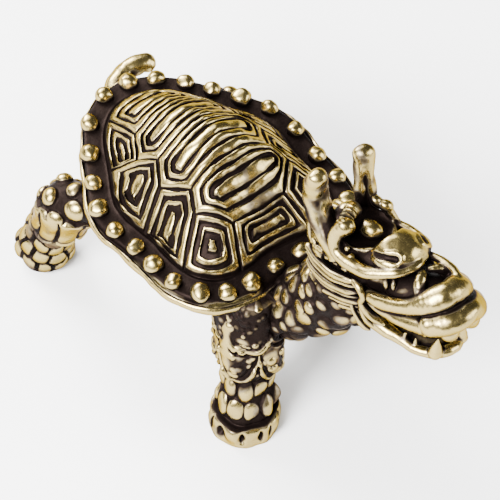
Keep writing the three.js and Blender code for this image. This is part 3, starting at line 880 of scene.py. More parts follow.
def make_dome():
    points, quads, film, count = [], [], [], 0
    for k, (edge, bar) in enumerate(scutes):
        (new_points, (new_quads,)), carved = carve_scute(edge, bar, costal=k > 4)
        points.append(new_points)
        quads.append(new_quads + count)
        ahead = shell_y - new_points[:, 1]
        # The carved grooves keep their film, and the dome is darkened towards its front as painted shade.
        film.append(1.1 * smoothstep(0.5, 0.85, carved) + 0.16 * smoothstep(1.5, 7.0, ahead))
        count += len(new_points)
    turns = list(FOOT_TURNS.values())
    turns = [0.0, *turns, *(360 - turn for turn in reversed(turns)), 360.0]
    ring = np.concatenate([foot(a, b) for a, b in zip(turns[:-1], turns[1:])])
    up = dome_up(ring[:, 0], ring[:, 1]) - GROOVE_DEPTH + CARVING_LIFT
    wall = [place(ring[:, 0], ring[:, 1], height) for height in (up, -RIM_THICKNESS * 0.7)]
    wall_points, (wall_quads, _, bottom) = skin(wall)
    points.append(wall_points)
    quads.append(wall_quads + count)
    film.append(np.ones(len(wall_points)))
    faces = [np.concatenate(quads), bottom + count]
    return piece("carved_dome", np.concatenate(points), faces, np.concatenate(film))


dome = make_dome()

# %% [markdown]
# ## The rim
#
# Round the dome lies a flat band, left dark, which falls away outside the studs to a rolled lip
# that the wheel has rubbed bright. One profile is swept round the outline. The lip waves slightly
# in and out, as a wax edge does that was pressed by hand.

# %% Sweep the rim
BAND_WIDTH = 0.55
RIM_REACH = 1.08
RIM_SWING = 0.22  # how much wider the rim is in front, and narrower behind
LIP_WIDTH = 0.42
LIP_DROP = 0.72
RIM_ROWS_BETWEEN = 3


def rim_profile(turn):
    """Outward and upward places across the rim, from the dome's foot round to the underside."""
    sway = 0.05 * np.sin(9 * turn + 1.0) + 0.04 * np.sin(17 * turn)
    reach = RIM_REACH - RIM_SWING * np.cos(turn) + sway
    w, d, t = LIP_WIDTH, LIP_DROP, RIM_THICKNESS
    dome_side = [(-0.6, 0.0), (0.02, 0.0), (0.1, 0.07), (0.2, 0.07), (0.28, 0.0)]
    lip = [
        (1.15, d * 0.72),
        (0.95, d * 0.78),
        (0.8, d * 0.62),
        (0.45, d * 0.5),
        (0.1, d * 0.72),
        (0.0, d),
        (0.1, d + (t - d) * 0.6),
        (0.45, t),
        (1.0, t * 0.97),
        (2.2, t * 0.9),
    ]
    line = [(-DOME_INSET + outward, up) for outward, up in dome_side]
    line += [(0.0, -0.02), (BAND_WIDTH, -0.05)]
    return line + [(reach - w * inward, -down) for inward, down in lip]


def make_rim():
    turn = np.linspace(0, ROUND, 540, endpoint=False)
    levels = [np.stack([np.broadcast_to(v, turn.shape) for v in pair], axis=-1) for pair in rim_profile(turn)]
    fine = []
    for here, then in zip(levels[:-1], levels[1:]):
        fine += [here + (then - here) * s / RIM_ROWS_BETWEEN for s in range(RIM_ROWS_BETWEEN)]
    fine = np.array([*fine, levels[-1]])
    for _ in range(2):
        fine[1:-1] = (fine[:-2] + 2 * fine[1:-1] + fine[2:]) / 4
    points, faces = skin([on_outline(turn, level[:, 0], level[:, 1]) for level in fine])
    left, ahead = points[:, 0], shell_y - points[:, 1]
    outward = np.hypot(ahead, left) - stud_line(np.arctan2(left, -ahead))
    band = (1 - smoothstep(0.5, 0.72, outward)) * (points[:, 2] > STAND_HEIGHT - 0.8)
    return piece("rim_with_lip", points, faces, 0.8 * band - 0.1 * (1 - band))


rim = make_rim()

# %% [markdown]
# ## The studs
#
# Twenty-six round studs sit along the outline. They repeat along a path, which is what Geometry
# Nodes are for: a ball is set on each point of the path, and noise dents the balls a little,
# because the real ones look dabbed on in wax one by one. They aren't evenly spaced either, so
# the points start as equal parts of the outline, and each then creeps along by a share of a
# spacing to match the photo. A fixed seed gives the same dents on every run.

# %% Helpers for Geometry Nodes
class Recipe:
    """A Geometry Nodes tree with named inputs for its sizes."""

    def __init__(self, name):
        self.tree = bpy.data.node_groups.new(name, "GeometryNodeTree")
        for in_out in ("INPUT", "OUTPUT"):
            self.tree.interface.new_socket("Geometry", in_out=in_out, socket_type="NodeSocketGeometry")
        self.inputs = self.tree.nodes.new("NodeGroupInput")
        self.outputs = self.tree.nodes.new("NodeGroupOutput")
        self.sizes = {}

    def size(self, name, value, kind="NodeSocketFloat"):
        """A named input, and the value it gets on the modifier."""
        socket = self.tree.interface.new_socket(name, in_out="INPUT", socket_type=kind)
        self.sizes[socket.identifier] = value
        return self.inputs.outputs[name]

    def node(self, kind, settings, inputs):
        """Adds a node. An input is a value, a socket, or a node whose first output goes in."""
        node = self.tree.nodes.new(kind)
        for key, value in settings.items():
            setattr(node, key, value)
        for key, value in inputs.items():
            if isinstance(value, bpy.types.Node):
                value = value.outputs[0]
            if isinstance(value, bpy.types.NodeSocket):
                self.tree.links.new(value, node.inputs[key])
            else:
                node.inputs[key].default_value = value
        return node

    def run(self, made, last):
        """Ends the tree, runs it on an object and returns the result as a plain mesh object."""
        real = self.node("GeometryNodeRealizeInstances", {}, {"Geometry": last})
        dressed = self.node("GeometryNodeSetMaterial", {}, {"Geometry": real, "Material": brass})
        self.tree.links.new(dressed.outputs[0], self.outputs.inputs[0])
        modifier = made.modifiers.new("recipe", "NODES")
        modifier.node_group = self.tree
        for identifier, value in self.sizes.items():
            modifier[identifier] = value
        graph = bpy.context.evaluated_depsgraph_get()
        mesh = bpy.data.meshes.new_from_object(made.evaluated_get(graph), depsgraph=graph)
        made.modifiers.clear()
        name = made.name
        bpy.data.objects.remove(made)
        result = bpy.data.objects.new(name, mesh)
        bpy.context.scene.collection.objects.link(result)
        return result


def curve_object(name, lines, cyclic=False):
    """A curve object from lines of points in millimetres, each with a radius in millimetres."""
    data = bpy.data.curves.new(name, "CURVE")
    data.dimensions = "3D"
    for line in lines:
        spline = data.splines.new("POLY")
        spline.points.add(len(line) - 1)
        corners = np.c_[line[:, :3] * MM, np.ones(len(line))].astype(np.float32)
        spline.points.foreach_set("co", corners.ravel())
        spline.points.foreach_set("radius", line[:, 3].astype(np.float32))
        spline.use_cyclic_u = cyclic
    made = bpy.data.objects.new(name, data)
    bpy.context.scene.collection.objects.link(made)
    return made


# %% Set the studs
STUD_COUNT = 26
STUD_RADIUS = 0.8
STUD_RISE = 0.06  # a stud's middle above the band
STUD_SHIFT = 0.23  # share of a spacing from the rear to the first stud
STUD_DENTS = 0.3
STUD_TILT = (0.5, 0.5, 6.28)  # most that a stud is turned about each axis
STUD_SEED = 7
# How far the studs have crept along, at a turn, in shares of a spacing.
CREEP_TURNS = (0.0, 0.6, 1.2, 1.7, 2.2, 2.9, 3.5, 3.9, 4.4, 4.9, 5.5, 5.8, 6.1)
CREEP = (0.25, 0.0, -0.05, 0.4, 0.55, 0.2, 0.15, -0.15, -0.3, -0.5, -0.45, -0.2, 0.25)


def stud_turns():
    turn = np.linspace(0, ROUND, 721)
    steps = np.linalg.norm(np.diff(on_outline(turn, 0, 0.0), axis=0), axis=1)
    lengths = np.concatenate([[0], np.cumsum(steps)])
    spacing = lengths[-1] / STUD_COUNT
    wanted = (np.arange(STUD_COUNT) + STUD_SHIFT) * spacing
    even = np.interp(wanted, lengths, turn)
    wanted = wanted + spacing * np.interp(even, CREEP_TURNS, CREEP, period=ROUND)
    return np.interp(wanted, lengths, turn, period=lengths[-1])


def make_studs():
    path = np.c_[on_outline(stud_turns(), 0, STUD_RISE), np.ones(STUD_COUNT)]
    recipe = Recipe("studs_on_a_path")
    radius = recipe.size("Radius", STUD_RADIUS * MM)
    dents = recipe.size("Dents", STUD_DENTS * MM)
    seed = recipe.size("Seed", STUD_SEED, "NodeSocketInt")
    spots = recipe.node("GeometryNodeCurveToPoints", {"mode": "EVALUATED"}, {"Curve": recipe.inputs})
    ball = recipe.node("GeometryNodeMeshIcoSphere", {}, {"Radius": radius, "Subdivisions": 4})
    tilt = {"Max": STUD_TILT, "Seed": seed}
    turned = recipe.node("FunctionNodeRandomValue", {"data_type": "FLOAT_VECTOR"}, tilt)
    between = {2: 0.92, 3: 1.06, "Seed": seed}
    swell = recipe.node("FunctionNodeRandomValue", {"data_type": "FLOAT"}, between).outputs[1]
    on_spots = {"Points": spots, "Instance": ball, "Rotation": turned, "Scale": swell}
    balls = recipe.node("GeometryNodeInstanceOnPoints", {}, on_spots)
    real = recipe.node("GeometryNodeRealizeInstances", {}, {"Geometry": balls})
    noise = recipe.node("ShaderNodeTexNoise", {}, {"Scale": 0.85 * PER_MM, "Detail": 1.0})
    less_middle = {0: noise.outputs["Color"], 1: (0.5, 0.5, 0.5)}
    centred = recipe.node("ShaderNodeVectorMath", {"operation": "SUBTRACT"}, less_middle)
    push = recipe.node("ShaderNodeVectorMath", {"operation": "SCALE"}, {0: centred, "Scale": dents})
    dented = recipe.node("GeometryNodeSetPosition", {}, {"Geometry": real, "Offset": push})
    made = recipe.run(curve_object("rim_studs", [path], cyclic=True), dented)
    points, _ = mesh_arrays(made.data)
    set_patina_and_shade(made.data, 0.7 * (1 - smoothstep(0.0, 0.2, points[:, 2] - STAND_HEIGHT)) - 0.06)
    return finish_piece(made)


studs = make_studs()

# %% [markdown]
# ## Belly, neck and tail
#
# The underside is hidden in the photo and is kept plain: a shallow tub under the rim, with
# shallow strokes up its side where the shell meets the body. The neck rises out of it in a
# long bend, and low round caps of uneven sizes stand apart on it. The tail is a blunt hook,
# slightly twisted, round the rear tip of the shell. The photo doesn't show its end.

# %% Make the belly
BELLY_DEPTH = 3.4
BELLY_STROKES = 76


def make_belly():
    turn = np.linspace(0, ROUND, 360, endpoint=False)
    top = RIM_THICKNESS * 0.5
    rings = []
    for share in np.linspace(0, 1, 30):
        width = 0.97 - 0.1 * share**2 - 0.5 * smoothstep(0.62, 1.0, share)
        down = top + (BELLY_DEPTH - top) * smoothstep(-0.2, 0.95, share)
        fade = smoothstep(0.02, 0.12, share) * (1 - smoothstep(0.5, 0.7, share))
        stroke = 0.1 * (1 - np.abs(np.sin(turn * BELLY_STROKES / 2))) ** 2 * fade
        inward = DOME_INSET + (stud_line(turn) - DOME_INSET) * (1 - width) + stroke
        rings.append(on_outline(turn, -inward, -down))
    return piece("belly", *skin(rings), 0.2)


belly = make_belly()

# %% Make the neck
NECK_RADIUS = 3.4
NECK = [
    # ahead, left and up, then shares of the radius across and along the head's axis
    (5.6, 0, -1.9, 0.8, 0.4),
    (10.2, 0.2, -3.4, 1.08, 0.76),
    (12.9, 0.6, -1.4, 1.04, 0.82),
    (15.2, 1.0, 1.8, 0.96, 0.88),
    (16.6, 1.3, 5.8, 0.88, 0.86),
]


def make_neck():
    stations = [[*place(*where), wide * NECK_RADIUS, high * NECK_RADIUS] for *where, wide, high in NECK]
    points, faces = skin(tube(stations, 160, 205))
    path, length = smooth_path(stations, 200)
    seeds = scale_rows(path, length, 1.5, 1.6, (1, 0, 0), 0.45, 3)
    relief, cap = caps(points, seeds, 0.85, 0.36, 12)
    points = along_normals(points, faces, relief + 0.15 * lumps(points, 1.5, 14))
    return piece("neck", points, faces, 0.68 - 0.5 * cap**0.7 + 0.3 * lumps(points, 1.8, 2))


neck = make_neck()

# %% Make the tail
TAIL_RADIUS = 0.86
TAIL = [
    # ahead, left and up, then the share of the radius
    (-10.6, -0.5, -2.3, 1.3),
    (-14.0, 0.6, -2.0, 1.2),
    (-15.2, 2.2, -1.4, 1.06),
    (-15.1, 3.5, -1.1, 1.0),
    (-14.6, 5.0, -1.2, 0.85),
]


def tail_twist(s, turn, length):
    return -0.07 * (1 - smoothstep(0.0, 0.5, np.abs(np.sin(s * 1.1 + turn * 0.5))))


def make_tail():
    stations = [[*place(*where), TAIL_RADIUS * share, TAIL_RADIUS * share] for *where, share in TAIL]
    rings = tube(stations, 90, 56, side=(0, 0, 1), relief=tail_twist, blunt_end=True)
    return piece("tail", *skin(rings))


tail = make_tail()

# %% [markdown]
# ## The front legs
#
# Each is a sleeve of broad scales hanging over an ankle with two rows of small egg-shaped ones,
# then a deep groove and a round foot whose side is drilled between the toes. The hanging rows
# overlap like roof tiles: at any place the highest row that still reaches there covers the ones
# below, and each scale has a raised rim along its round lower edge. Crumbs of wax make the
# sleeve rough, and the wheel has brightened them. The photo hides the left leg, which is made
# like the right one.

# %% The front legs' scales
ANKLE_RADIUS = 2.0
SLEEVE_RADIUS = 2.6
HANGING_ROWS = [(4.4, 1.25, 1.17), (6.7, 2.65, 0.855)]  # depth of the cusps, hang, turn of the first
HANGING_COUNT = 5
ANKLE_ROWS = [(10.15, 0.2), (12.3, 0.5)]  # depth of the middle, turn of the first
ANKLE_COUNT = 10
BULGE_TURN = 4.9  # where the big scale swells at its edge


def from_scale_middle(count, turn, first):
    """0 at the middle of one of the scales that go round, 1 where it meets the next."""
    return np.abs((count * (turn - first) / ROUND) % 1.0 - 0.5) * 2


def bulge_at(down, turn):
    """The swelling at the big scale's edge, between 0 and 1."""
    aside = np.abs((turn - BULGE_TURN + np.pi) % ROUND - np.pi)
    return bell(aside, 0, 0.22) * smoothstep(2.0, 3.2, down) * (1 - smoothstep(6.8, 8.2, down))


def ankle_scales(down, turn):
    """Relief and film of the small egg-shaped scales below the sleeve."""
    relief, film = 0.0, 0.5
    for middle, first in ANKLE_ROWS:
        across = from_scale_middle(ANKLE_COUNT, turn, first)
        uneven = 1 + 0.14 * np.sin(3 * turn + middle) + 0.08 * np.sin(8 * turn)
        away = np.hypot(across / 1.06, (down - middle) / uneven)
        egg = np.sqrt(np.maximum(0, 1 - away**2))
        relief = np.maximum(relief, 0.42 * egg * uneven)
        film = np.minimum(film, 0.5 - 0.4 * smoothstep(0.0, 0.6, egg))
    return relief, film


def leg_scales(down, turn):
    """Relief, film and painted shadow of the whole leg at a depth below the band and a turn round it."""
    relief, film = ankle_scales(down, turn)
    done = np.zeros(relief.shape, bool)
    for cusp, hang, first in HANGING_ROWS:
        across = from_scale_middle(HANGING_COUNT, turn, first)
        wander = 0.15 * np.sin(2 * turn + cusp) + 0.1 * np.sin(5 * turn + 2 * cusp)
        above = cusp + hang * np.sqrt(np.maximum(1 - across**2.2, 0)) + wander - down
        away = above / np.sqrt(1 + np.clip(across * hang * 0.9, 0, 2.2) ** 2)
        rim = bell(away, 0.34, 0.3) * (0.75 + 0.25 * np.sin(7 * turn + 2 * np.sin(2.1 * down)))
        inner = smoothstep(0.45, 0.7, away) * (1 - smoothstep(0.75, 1.1, away))
        swell = smoothstep(0.6, 1.4, away) * (1 - across**2)
        lift = (0.2 + 0.28 * rim - 0.16 * inner + 0.3 * swell) * smoothstep(-0.02, 0.14, away)
        # The upper part of each scale, under the row above, is darkened as painted shadow. The dark line
        # along its lower edge is the joint.
        stain_and_shadow = 0.06 + 0.15 * inner + 0.36 * smoothstep(0.5, 0.85, away) - 0.15 * rim
        stain_and_shadow = stain_and_shadow + 0.8 * (1 - smoothstep(0.0, 0.1, away))
        here = (above > -0.02) & ~done
        relief = np.where(here, lift, relief)
        film = np.where(here, stain_and_shadow, film)
        done |= here
    bulge = bulge_at(down, turn)
    return relief * (1 - bulge) + 0.62 * bulge, film * (1 - bulge) - 0.1 * bulge


# %% Make the front legs
FOOT_RADIUS = 2.95
FOOT_HEIGHT = 1.75
TOE_PITS = 12
LEG_TOP = 0.6  # depth of the leg's hidden upper end below the band
LEG_ROWS, LEG_AROUND = 190, 260
CRUMBS = 420
FRONT_LEGS = {
    # ahead and left of the hip and of the foot's middle
    "right_front_leg": ((9.0, -2.9), (10.6, -5.0)),
    "left_front_leg": ((4.6, 4.6), (3.2, 6.3)),
}
LEG_WIDTHS = [(0.0, 0.9), (3.0, 0.93), (6.0, 0.97), (8.6, 0.9)]  # depth, share of the sleeve's radius
ANKLE_WIDTHS = [(9.3, 0.98), (11.0, 0.97), (13.0, 1.08), (14.0, 1.1)]  # depth, share of the ankle's


def leg_radius(down):
    stations = [(depth, share * SLEEVE_RADIUS) for depth, share in LEG_WIDTHS]
    stations += [(depth, share * ANKLE_RADIUS) for depth, share in ANKLE_WIDTHS]
    return np.interp(down, *np.array(stations).T)


def foot_radius(down, turn):
    """The foot's side is round, with drilled pits between the toes."""
    height = (STAND_HEIGHT - down) / FOOT_HEIGHT
    side = FOOT_RADIUS * (0.88 + 0.12 * np.sqrt(np.clip(1 - (1.7 * height - 0.75) ** 2, 0, 1)))
    phase = (TOE_PITS * turn / ROUND + 0.2 * np.sin(3 * turn) + 0.1 * np.sin(7 * turn)) % 1.0
    pit = bell(phase, 0.5, 0.16) * bell(height, 0.55, 0.24)
    toe = (0.07 + 0.05 * np.sin(5 * turn)) * np.abs(np.sin(np.pi * (phase - 0.5)))
    return side - 0.5 * pit + toe * smoothstep(0.15, 0.6, height) - 0.05


def make_front_leg(name):
    hip, foot_middle = FRONT_LEGS[name]
    turn = np.linspace(0, ROUND, LEG_AROUND, endpoint=False)
    groove_top = STAND_HEIGHT - FOOT_HEIGHT
    downs = np.linspace(LEG_TOP, groove_top - 0.05, LEG_ROWS)[:, None]
    relief, scales = leg_scales(downs, turn)
    pinch = 1 - smoothstep(0.0, 0.2, groove_top - downs)
    radii = (leg_radius(downs) + relief) * (1 - pinch) + ANKLE_RADIUS * pinch
    rows = list(zip(downs[:, 0], radii))
    rows += [(groove_top + 0.02, np.full(LEG_AROUND, FOOT_RADIUS * share)) for share in (0.72, 0.78, 0.83)]
    foot_downs = np.linspace(groove_top + 0.04, STAND_HEIGHT, 30)
    rows += [(down, foot_radius(down, turn)) for down in foot_downs]
    rows += [(STAND_HEIGHT, foot_radius(STAND_HEIGHT, turn) * share) for share in (0.9, 0.6, 0.3)]

    def axis(down):
        return [a + (b - a) * down / STAND_HEIGHT for a, b in zip(hip, foot_middle)]

    rings = []
    for down, radius in rows:
        ahead, left = axis(down)
        rings.append(place(ahead + radius * np.cos(turn), left + radius * np.sin(turn), -down))
    points, faces = skin(rings)
    count = LEG_ROWS * LEG_AROUND
    down = STAND_HEIGHT - points[:, 2]
    crumbs = points[np.random.default_rng(9).choice(count, CRUMBS, replace=False)]
    crumbled, _ = caps(points, crumbs, 0.36, 0.2, 10)
    on_sleeve = 1 - smoothstep(7.8, 8.8, down)
    on_sleeve[:count] *= 1 - bulge_at(downs, turn).ravel()
    above_foot = smoothstep(-0.3, -1.2, down - STAND_HEIGHT)
    rough = (lumps(points, 1.0, 5) * 0.12 + crumbled * on_sleeve) * above_foot
    rough = rough + 0.07 * lumps(points, 0.8, 18) * (1 - above_foot)
    points = points + normalise(points - place(*axis(down), -down)) * rough[:, None]
    # The groove above the foot keeps its film. The leg's top under the rim is darkened as painted shade, and
    # the scales bring the painted shadow under each of their rows.
    film = 0.5 * bell(down, groove_top - 0.02, 0.14) + 0.36 * (1 - smoothstep(2.5, 6.0, down))
    film[:count] += scales.ravel()
    film = film - 1.35 * crumbled * on_sleeve + 0.3 * lumps(points, 1.2, 16)
    return piece(name, points, faces, film)


front_legs = [make_front_leg(name) for name in FRONT_LEGS]

# %% [markdown]
# ## The hind legs
#
# The thigh comes out level from under the shell, bends at a high knee and goes down to a round
# foot. Wax suits that bend better than rows of points. Round caps with wide gaps cover the
# knee. Below it hangs a cuff of long broad scales, and from there down flat ones fit together
# like paving. The photo hides the left leg, which is the right one mirrored.

# %% Carve the hind legs
HIND_CELL = 0.1
CUFF_SCALES = 8
CUFF_TURN = 0.8
CUFF_TOP = 4.8
CUFF_DEPTH = 7.9
CUFF_HANG = 0.6
TILES_FROM = 9.1  # depth where the rows of flat scales start
THIGH = [(-4.6, 5.2, -2.4, 1.6), (-7.2, 6.9, -3.7, 1.6), (-9.4, 8.0, -5.1, 1.95)]
SHIN = [
    (-9.6, 8.0, -5.4, 1.85),
    (-10.0, 8.1, -7.3, 1.8),
    (-11.2, 8.0, -9.6, 1.7),
    (-12.4, 7.85, -12.0, 1.95),
    (-13.1, 7.7, -13.9, 2.3),
    (-13.2, 7.7, -15.2, 2.0),
    (-13.2, 7.7, -16.0, 1.5),
]


def hind_leg_seeds():
    """Middles of the knee's caps and of the shin's flat scales, and the path down the shin."""
    knee, knee_length = smooth_path([(*p, p[3]) for p in THIGH], 60)
    shin, length = smooth_path([(*p, p[3]) for p in SHIN], 200)
    split = np.searchsorted(-shin[:, 2], TILES_FROM)
    on_knee = scale_rows(knee, knee_length, 1.9, 2.0, (0, 0, 1), 0.25, 11)
    upper = scale_rows(shin[:split], length * split / 200, 1.85, 1.9, (0, 1, 0), 0.22, 5)
    lower = scale_rows(shin[split:], length * (200 - split) / 200, 1.5, 1.45, (0, 1, 0), 0.25, 6)
    return np.concatenate([on_knee, upper]), lower, shin


def make_hind_legs():
    wax = Wax((-16.6, 2.6, -STAND_HEIGHT), (-2.6, 11.8, -0.2), HIND_CELL)
    wax.rope(THIGH, 0.2, step=0.5)
    wax.rope(SHIN, 0.6, step=0.4)
    wax.below(-STAND_HEIGHT)
    points, quads = wax.lift()
    cap_seeds, tile_seeds, shin = hind_leg_seeds()
    down = -points[:, 2]
    knobbly, cap = caps(points, cap_seeds, 0.88, 0.5, 13)
    tiled, joints = pebbles(points, tile_seeds, 0.15, 0.16, 0.32, 1.05)
    aside = [points[:, k] - np.interp(down, -shin[:, 2], shin[:, k]) for k in range(2)]
    across = from_scale_middle(CUFF_SCALES, np.arctan2(aside[1], aside[0]), CUFF_TURN)
    above = CUFF_DEPTH + CUFF_HANG * np.sqrt(np.maximum(1 - across**2.2, 0)) - down
    joint = bell(across, 1, 0.06)
    cuff = 0.34 + 0.2 * (1 - across**4) + 0.14 * bell(above, 0.18, 0.16) - 0.22 * joint
    on_cuff = smoothstep(CUFF_TOP, CUFF_TOP + 0.3, down)
    on_tiles = 1 - smoothstep(-0.04, 0.1, above)
    shaded_under_thigh = smoothstep(2.6, 3.0, np.hypot(*aside)) * (down < 9.0) * on_cuff
    gaps = (1 - smoothstep(0.0, 0.3, cap)) * (1 - on_cuff)
    gaps = gaps + (joint + 0.5 * bell(above, 0.52, 0.13)) * on_cuff
    relief = (knobbly * (1 - on_cuff) + cuff * on_cuff) * (1 - on_tiles) + tiled * on_tiles
    relief = relief * smoothstep(0.0, 0.4, STAND_HEIGHT - down) * (1 - shaded_under_thigh)
    rubbed = 0.14 * on_cuff * (1 - on_tiles) * smoothstep(0.4, 0.9, above)
    film = 0.18 + (gaps * (1 - on_tiles) + joints * on_tiles) * 0.7 + 0.26 * lumps(points, 1.5, 17)
    # The leg under the thigh is darkened as painted shade.
    film = film - rubbed + 0.5 * shaded_under_thigh
    ahead, left, up = along_normals(points, [quads], relief).T
    up = np.maximum(up, -STAND_HEIGHT)
    sides = (("right_hind_leg", -1), ("left_hind_leg", 1))
    return [piece(name, place(ahead, left * side, up), [quads], film) for name, side in sides]


hind_legs = make_hind_legs()

# %% [markdown]
# ## The head
#
# The head has its own frame: forward from the roots of the horns, left, and up. It is turned a
# little to the left, its nose is lifted, and its far half sits lower than the near one, as if
# the wax had been bent. Skull, muzzle, mouth and teeth are carved in one half of the block and
# mirrored, because the photo hides the far side below the brow. Temples and curls differ from
# side to side, so they are added to the whole block afterwards.

# %% Where the head is
HEAD_ROOT = (14.8, 1.2, 9.3)
HEAD_YAW = np.radians(8)
HEAD_PITCH = np.radians(6)
LEFT_DROOP = 0.35

yaw_sin, yaw_cos = np.sin(HEAD_YAW), np.cos(HEAD_YAW)
pitch_sin, pitch_cos = np.sin(HEAD_PITCH), np.cos(HEAD_PITCH)
head_forward = np.array([yaw_sin * pitch_cos, -yaw_cos * pitch_cos, pitch_sin])
head_side = np.array([yaw_cos, yaw_sin, 0.0])
head_top = np.cross(head_forward, head_side)


def on_head(points):
    """Points of the frame from places forward, left and up on the head."""
    forward, left, up = np.moveaxis(np.asarray(points, float), -1, 0)[..., None]
    droop = LEFT_DROOP * (left + np.sqrt(left**2 + 0.25)) / 2
    return place(*HEAD_ROOT) + forward * head_forward + left * head_side + (up - droop) * head_top


# %% Carve one half of the head
HEAD_CELL = 0.094
EYE_SLIT = [
    (4.95, 2.1, 1.75, 0.2),
    (5.75, 2.15, 1.98, 0.26),
    (6.5, 1.98, 2.12, 0.27),
    (7.12, 1.62, 2.05, 0.3),
]
SKULL = [
    # middle and half-lengths of each ball, and how softly it joins
    ((0.0, 0, -1.7), (2.6, 2.6, 2.7), 0.3),
    ((3.2, 0, -1.6), (3.4, 2.85, 3.0), 0.8),
    ((4.2, 0, -3.2), (2.6, 2.5, 2.3), 0.8),
    ((8.4, 0, -1.3), (4.6, 2.4, 1.5), 0.6),
    ((2.2, 0, 0.2), (2.3, 2.9, 2.3), 0.5),
    ((6.05, 0, 1.3), (2.1, 2.3, 1.55), 0.12),
]
BROW_HOLLOW = ((3.0, 0, 2.5), (2.5, 2.85, 2.0), 0.15)
LID = [(5.2, 2.05, 1.2, 0.25), (6.1, 2.15, 1.42, 0.38), (6.8, 1.95, 1.5, 0.36), (7.2, 1.7, 1.45, 0.25)]
LID_CURL = [
    (6.2, 1.75, 2.35, 0.1),
    (6.9, 1.28, 2.42, 0.15),
    (7.36, 1.15, 2.22, 0.17),
    (7.5, 1.42, 1.87, 0.17),
    (7.2, 1.8, 1.66, 0.15),
]
NOSE_FOLDS = [
    ([(6.5, 2.1, 0.05, 0.18), (6.6, 2.25, -0.4, 0.25), (6.7, 2.35, -0.85, 0.14)], 0.08),
    ([(7.1, 1.9, 0.1, 0.16), (7.2, 2.05, -0.25, 0.22), (7.3, 2.2, -0.65, 0.12)], 0.08),
    ([(8.7, 0.4, 0.7, 0.3), (9.0, 0.95, 0.72, 0.45), (9.3, 1.45, 0.4, 0.48), (9.55, 1.85, 0.0, 0.25)], 0.1),
]
NOSE_DIMPLE = ((10.0, 0.3, 0.9), (0.8, 0.7, 0.6), 0.1)
NOSE_ROLL = [
    (4.7, 3.0, -2.05, 0.42),
    (6.6, 2.95, -1.85, 0.6),
    (8.2, 2.75, -1.35, 0.62),
    (9.4, 2.35, -0.9, 0.72),
    (10.4, 1.75, -0.3, 0.97),
    (11.1, 0.9, 0.05, 1.1),
    (11.3, 0.0, 0.1, 1.1),
]
LIP_BAND = [(5.4, 2.85, -2.75, 0.35), (7.0, 2.85, -2.75, 0.5), (8.8, 2.8, -2.5, 0.6), (10.6, 2.5, -2.1, 0.7)]
LIP_ROLL = [
    (11.2, 2.25, -1.75, 0.92),
    (12.0, 1.6, -1.45, 1.02),
    (12.55, 0.8, -1.3, 1.0),
    (12.7, 0.0, -1.25, 1.0),
]
MOUTH = ((9.2, 0, -4.5), (4.7, 2.15, 1.5), 0.12)
JAW = [
    (3.7, 2.3, -4.8, 0.85),
    (5.6, 2.35, -5.5, 0.7),
    (7.4, 2.2, -6.0, 0.5),
    (9.0, 1.95, -6.3, 0.42),
    (10.3, 1.35, -6.4, 0.45),
    (11.0, 0.5, -6.3, 0.5),
    (11.1, 0, -6.3, 0.5),
]
JAW_FLOOR = ((7.2, 0, -6.5), (3.6, 1.9, 0.5), 0.2)
TONGUE = [(5.4, 0, -5.6, 0.7), (7.8, 0, -5.85, 0.6), (9.2, 0, -5.7, 0.4)]
BROAD_TOOTH = ((12.0, 1.1, -2.7), (0.75, 0.85, 1.1), 0.08)
TEETH = [
    # a fang from below, one small tooth above and two below
    ([(10.6, 1.35, -6.0, 0.62), (11.0, 1.4, -4.3, 0.1)], 0.06),
    ([(10.4, 2.2, -2.9, 0.3), (10.4, 2.2, -3.6, 0.1)], 0.05),
    ([(8.9, 1.8, -6.0, 0.28), (9.0, 1.8, -5.3, 0.1)], 0.05),
    ([(8.0, 2.0, -5.8, 0.26), (8.1, 2.0, -5.2, 0.1)], 0.05),
]


def carve_half(wax):
    """What both sides of the head share, carved on the side from its middle up."""
    for egg in SKULL:
        wax.ball(*egg)
    wax.ball(*BROW_HOLLOW, cut=True)
    wax.rope(LID, 0.25)
    wax.rope(LID_CURL, 0.12)
    wax.rope(EYE_SLIT, 0.04, cut=True)
    for fold in NOSE_FOLDS:
        wax.rope(*fold)
    wax.ball(*NOSE_DIMPLE, cut=True)
    wax.rope(NOSE_ROLL, 0.16)
    wax.rope(LIP_BAND, 0.1)
    wax.rope(LIP_ROLL, 0.06)
    wax.ball(*MOUTH, cut=True)
    wax.rope(JAW, 0.2)
    wax.ball(*JAW_FLOOR)
    wax.rope(TONGUE, 0.15)
    wax.ball(*BROAD_TOOTH)
    for tooth in TEETH:
        wax.rope(*tooth)


# %% Carve the temples and finish the head
NEAR_RIDGE = [
    (2.55, -2.25, 3.1, 0.78),
    (2.15, -2.65, 2.55, 0.6),
    (2.05, -2.95, 1.7, 0.55),
    (2.3, -3.05, 0.95, 0.6),
    (3.2, -3.1, 0.55, 0.6),
    (4.4, -3.1, 0.5, 0.58),
    (5.6, -3.0, 0.65, 0.52),
    (6.7, -2.5, 0.95, 0.42),
    (7.5, -1.95, 1.1, 0.38),
    (8.05, -1.1, 1.2, 0.36),
    (8.2, -0.2, 1.25, 0.34),
    (7.9, 0.8, 1.2, 0.3),
]
FAR_RIDGE = [
    (1.55, 2.1, 2.35, 0.42),
    (2.3, 2.4, 2.15, 0.42),
    (2.8, 2.6, 1.4, 0.4),
    (3.1, 2.8, 0.8, 0.38),
    (4.4, 3.0, 0.6, 0.42),
    (5.6, 2.9, 0.7, 0.4),
    (6.7, 2.4, 0.9, 0.3),
]
CURLS_A_SIDE = 24
FAR_NOSTRIL = [(7.6, 1.5, 0.9, 0.3), (8.6, 1.7, 0.95, 0.38), (9.8, 1.7, 0.95, 0.42), (10.8, 1.4, 0.8, 0.4)]
BEADS = [
    # two in the near ridge's bend and two on top of the far one
    ((3.15, -2.75, 1.45), (0.28, 0.28, 0.28)),
    ((3.65, -2.85, 0.98), (0.3, 0.3, 0.3)),
    ((1.58, 2.1, 2.55), (0.52, 0.5, 0.52)),
    ((2.33, 2.4, 2.3), (0.58, 0.55, 0.58)),
]


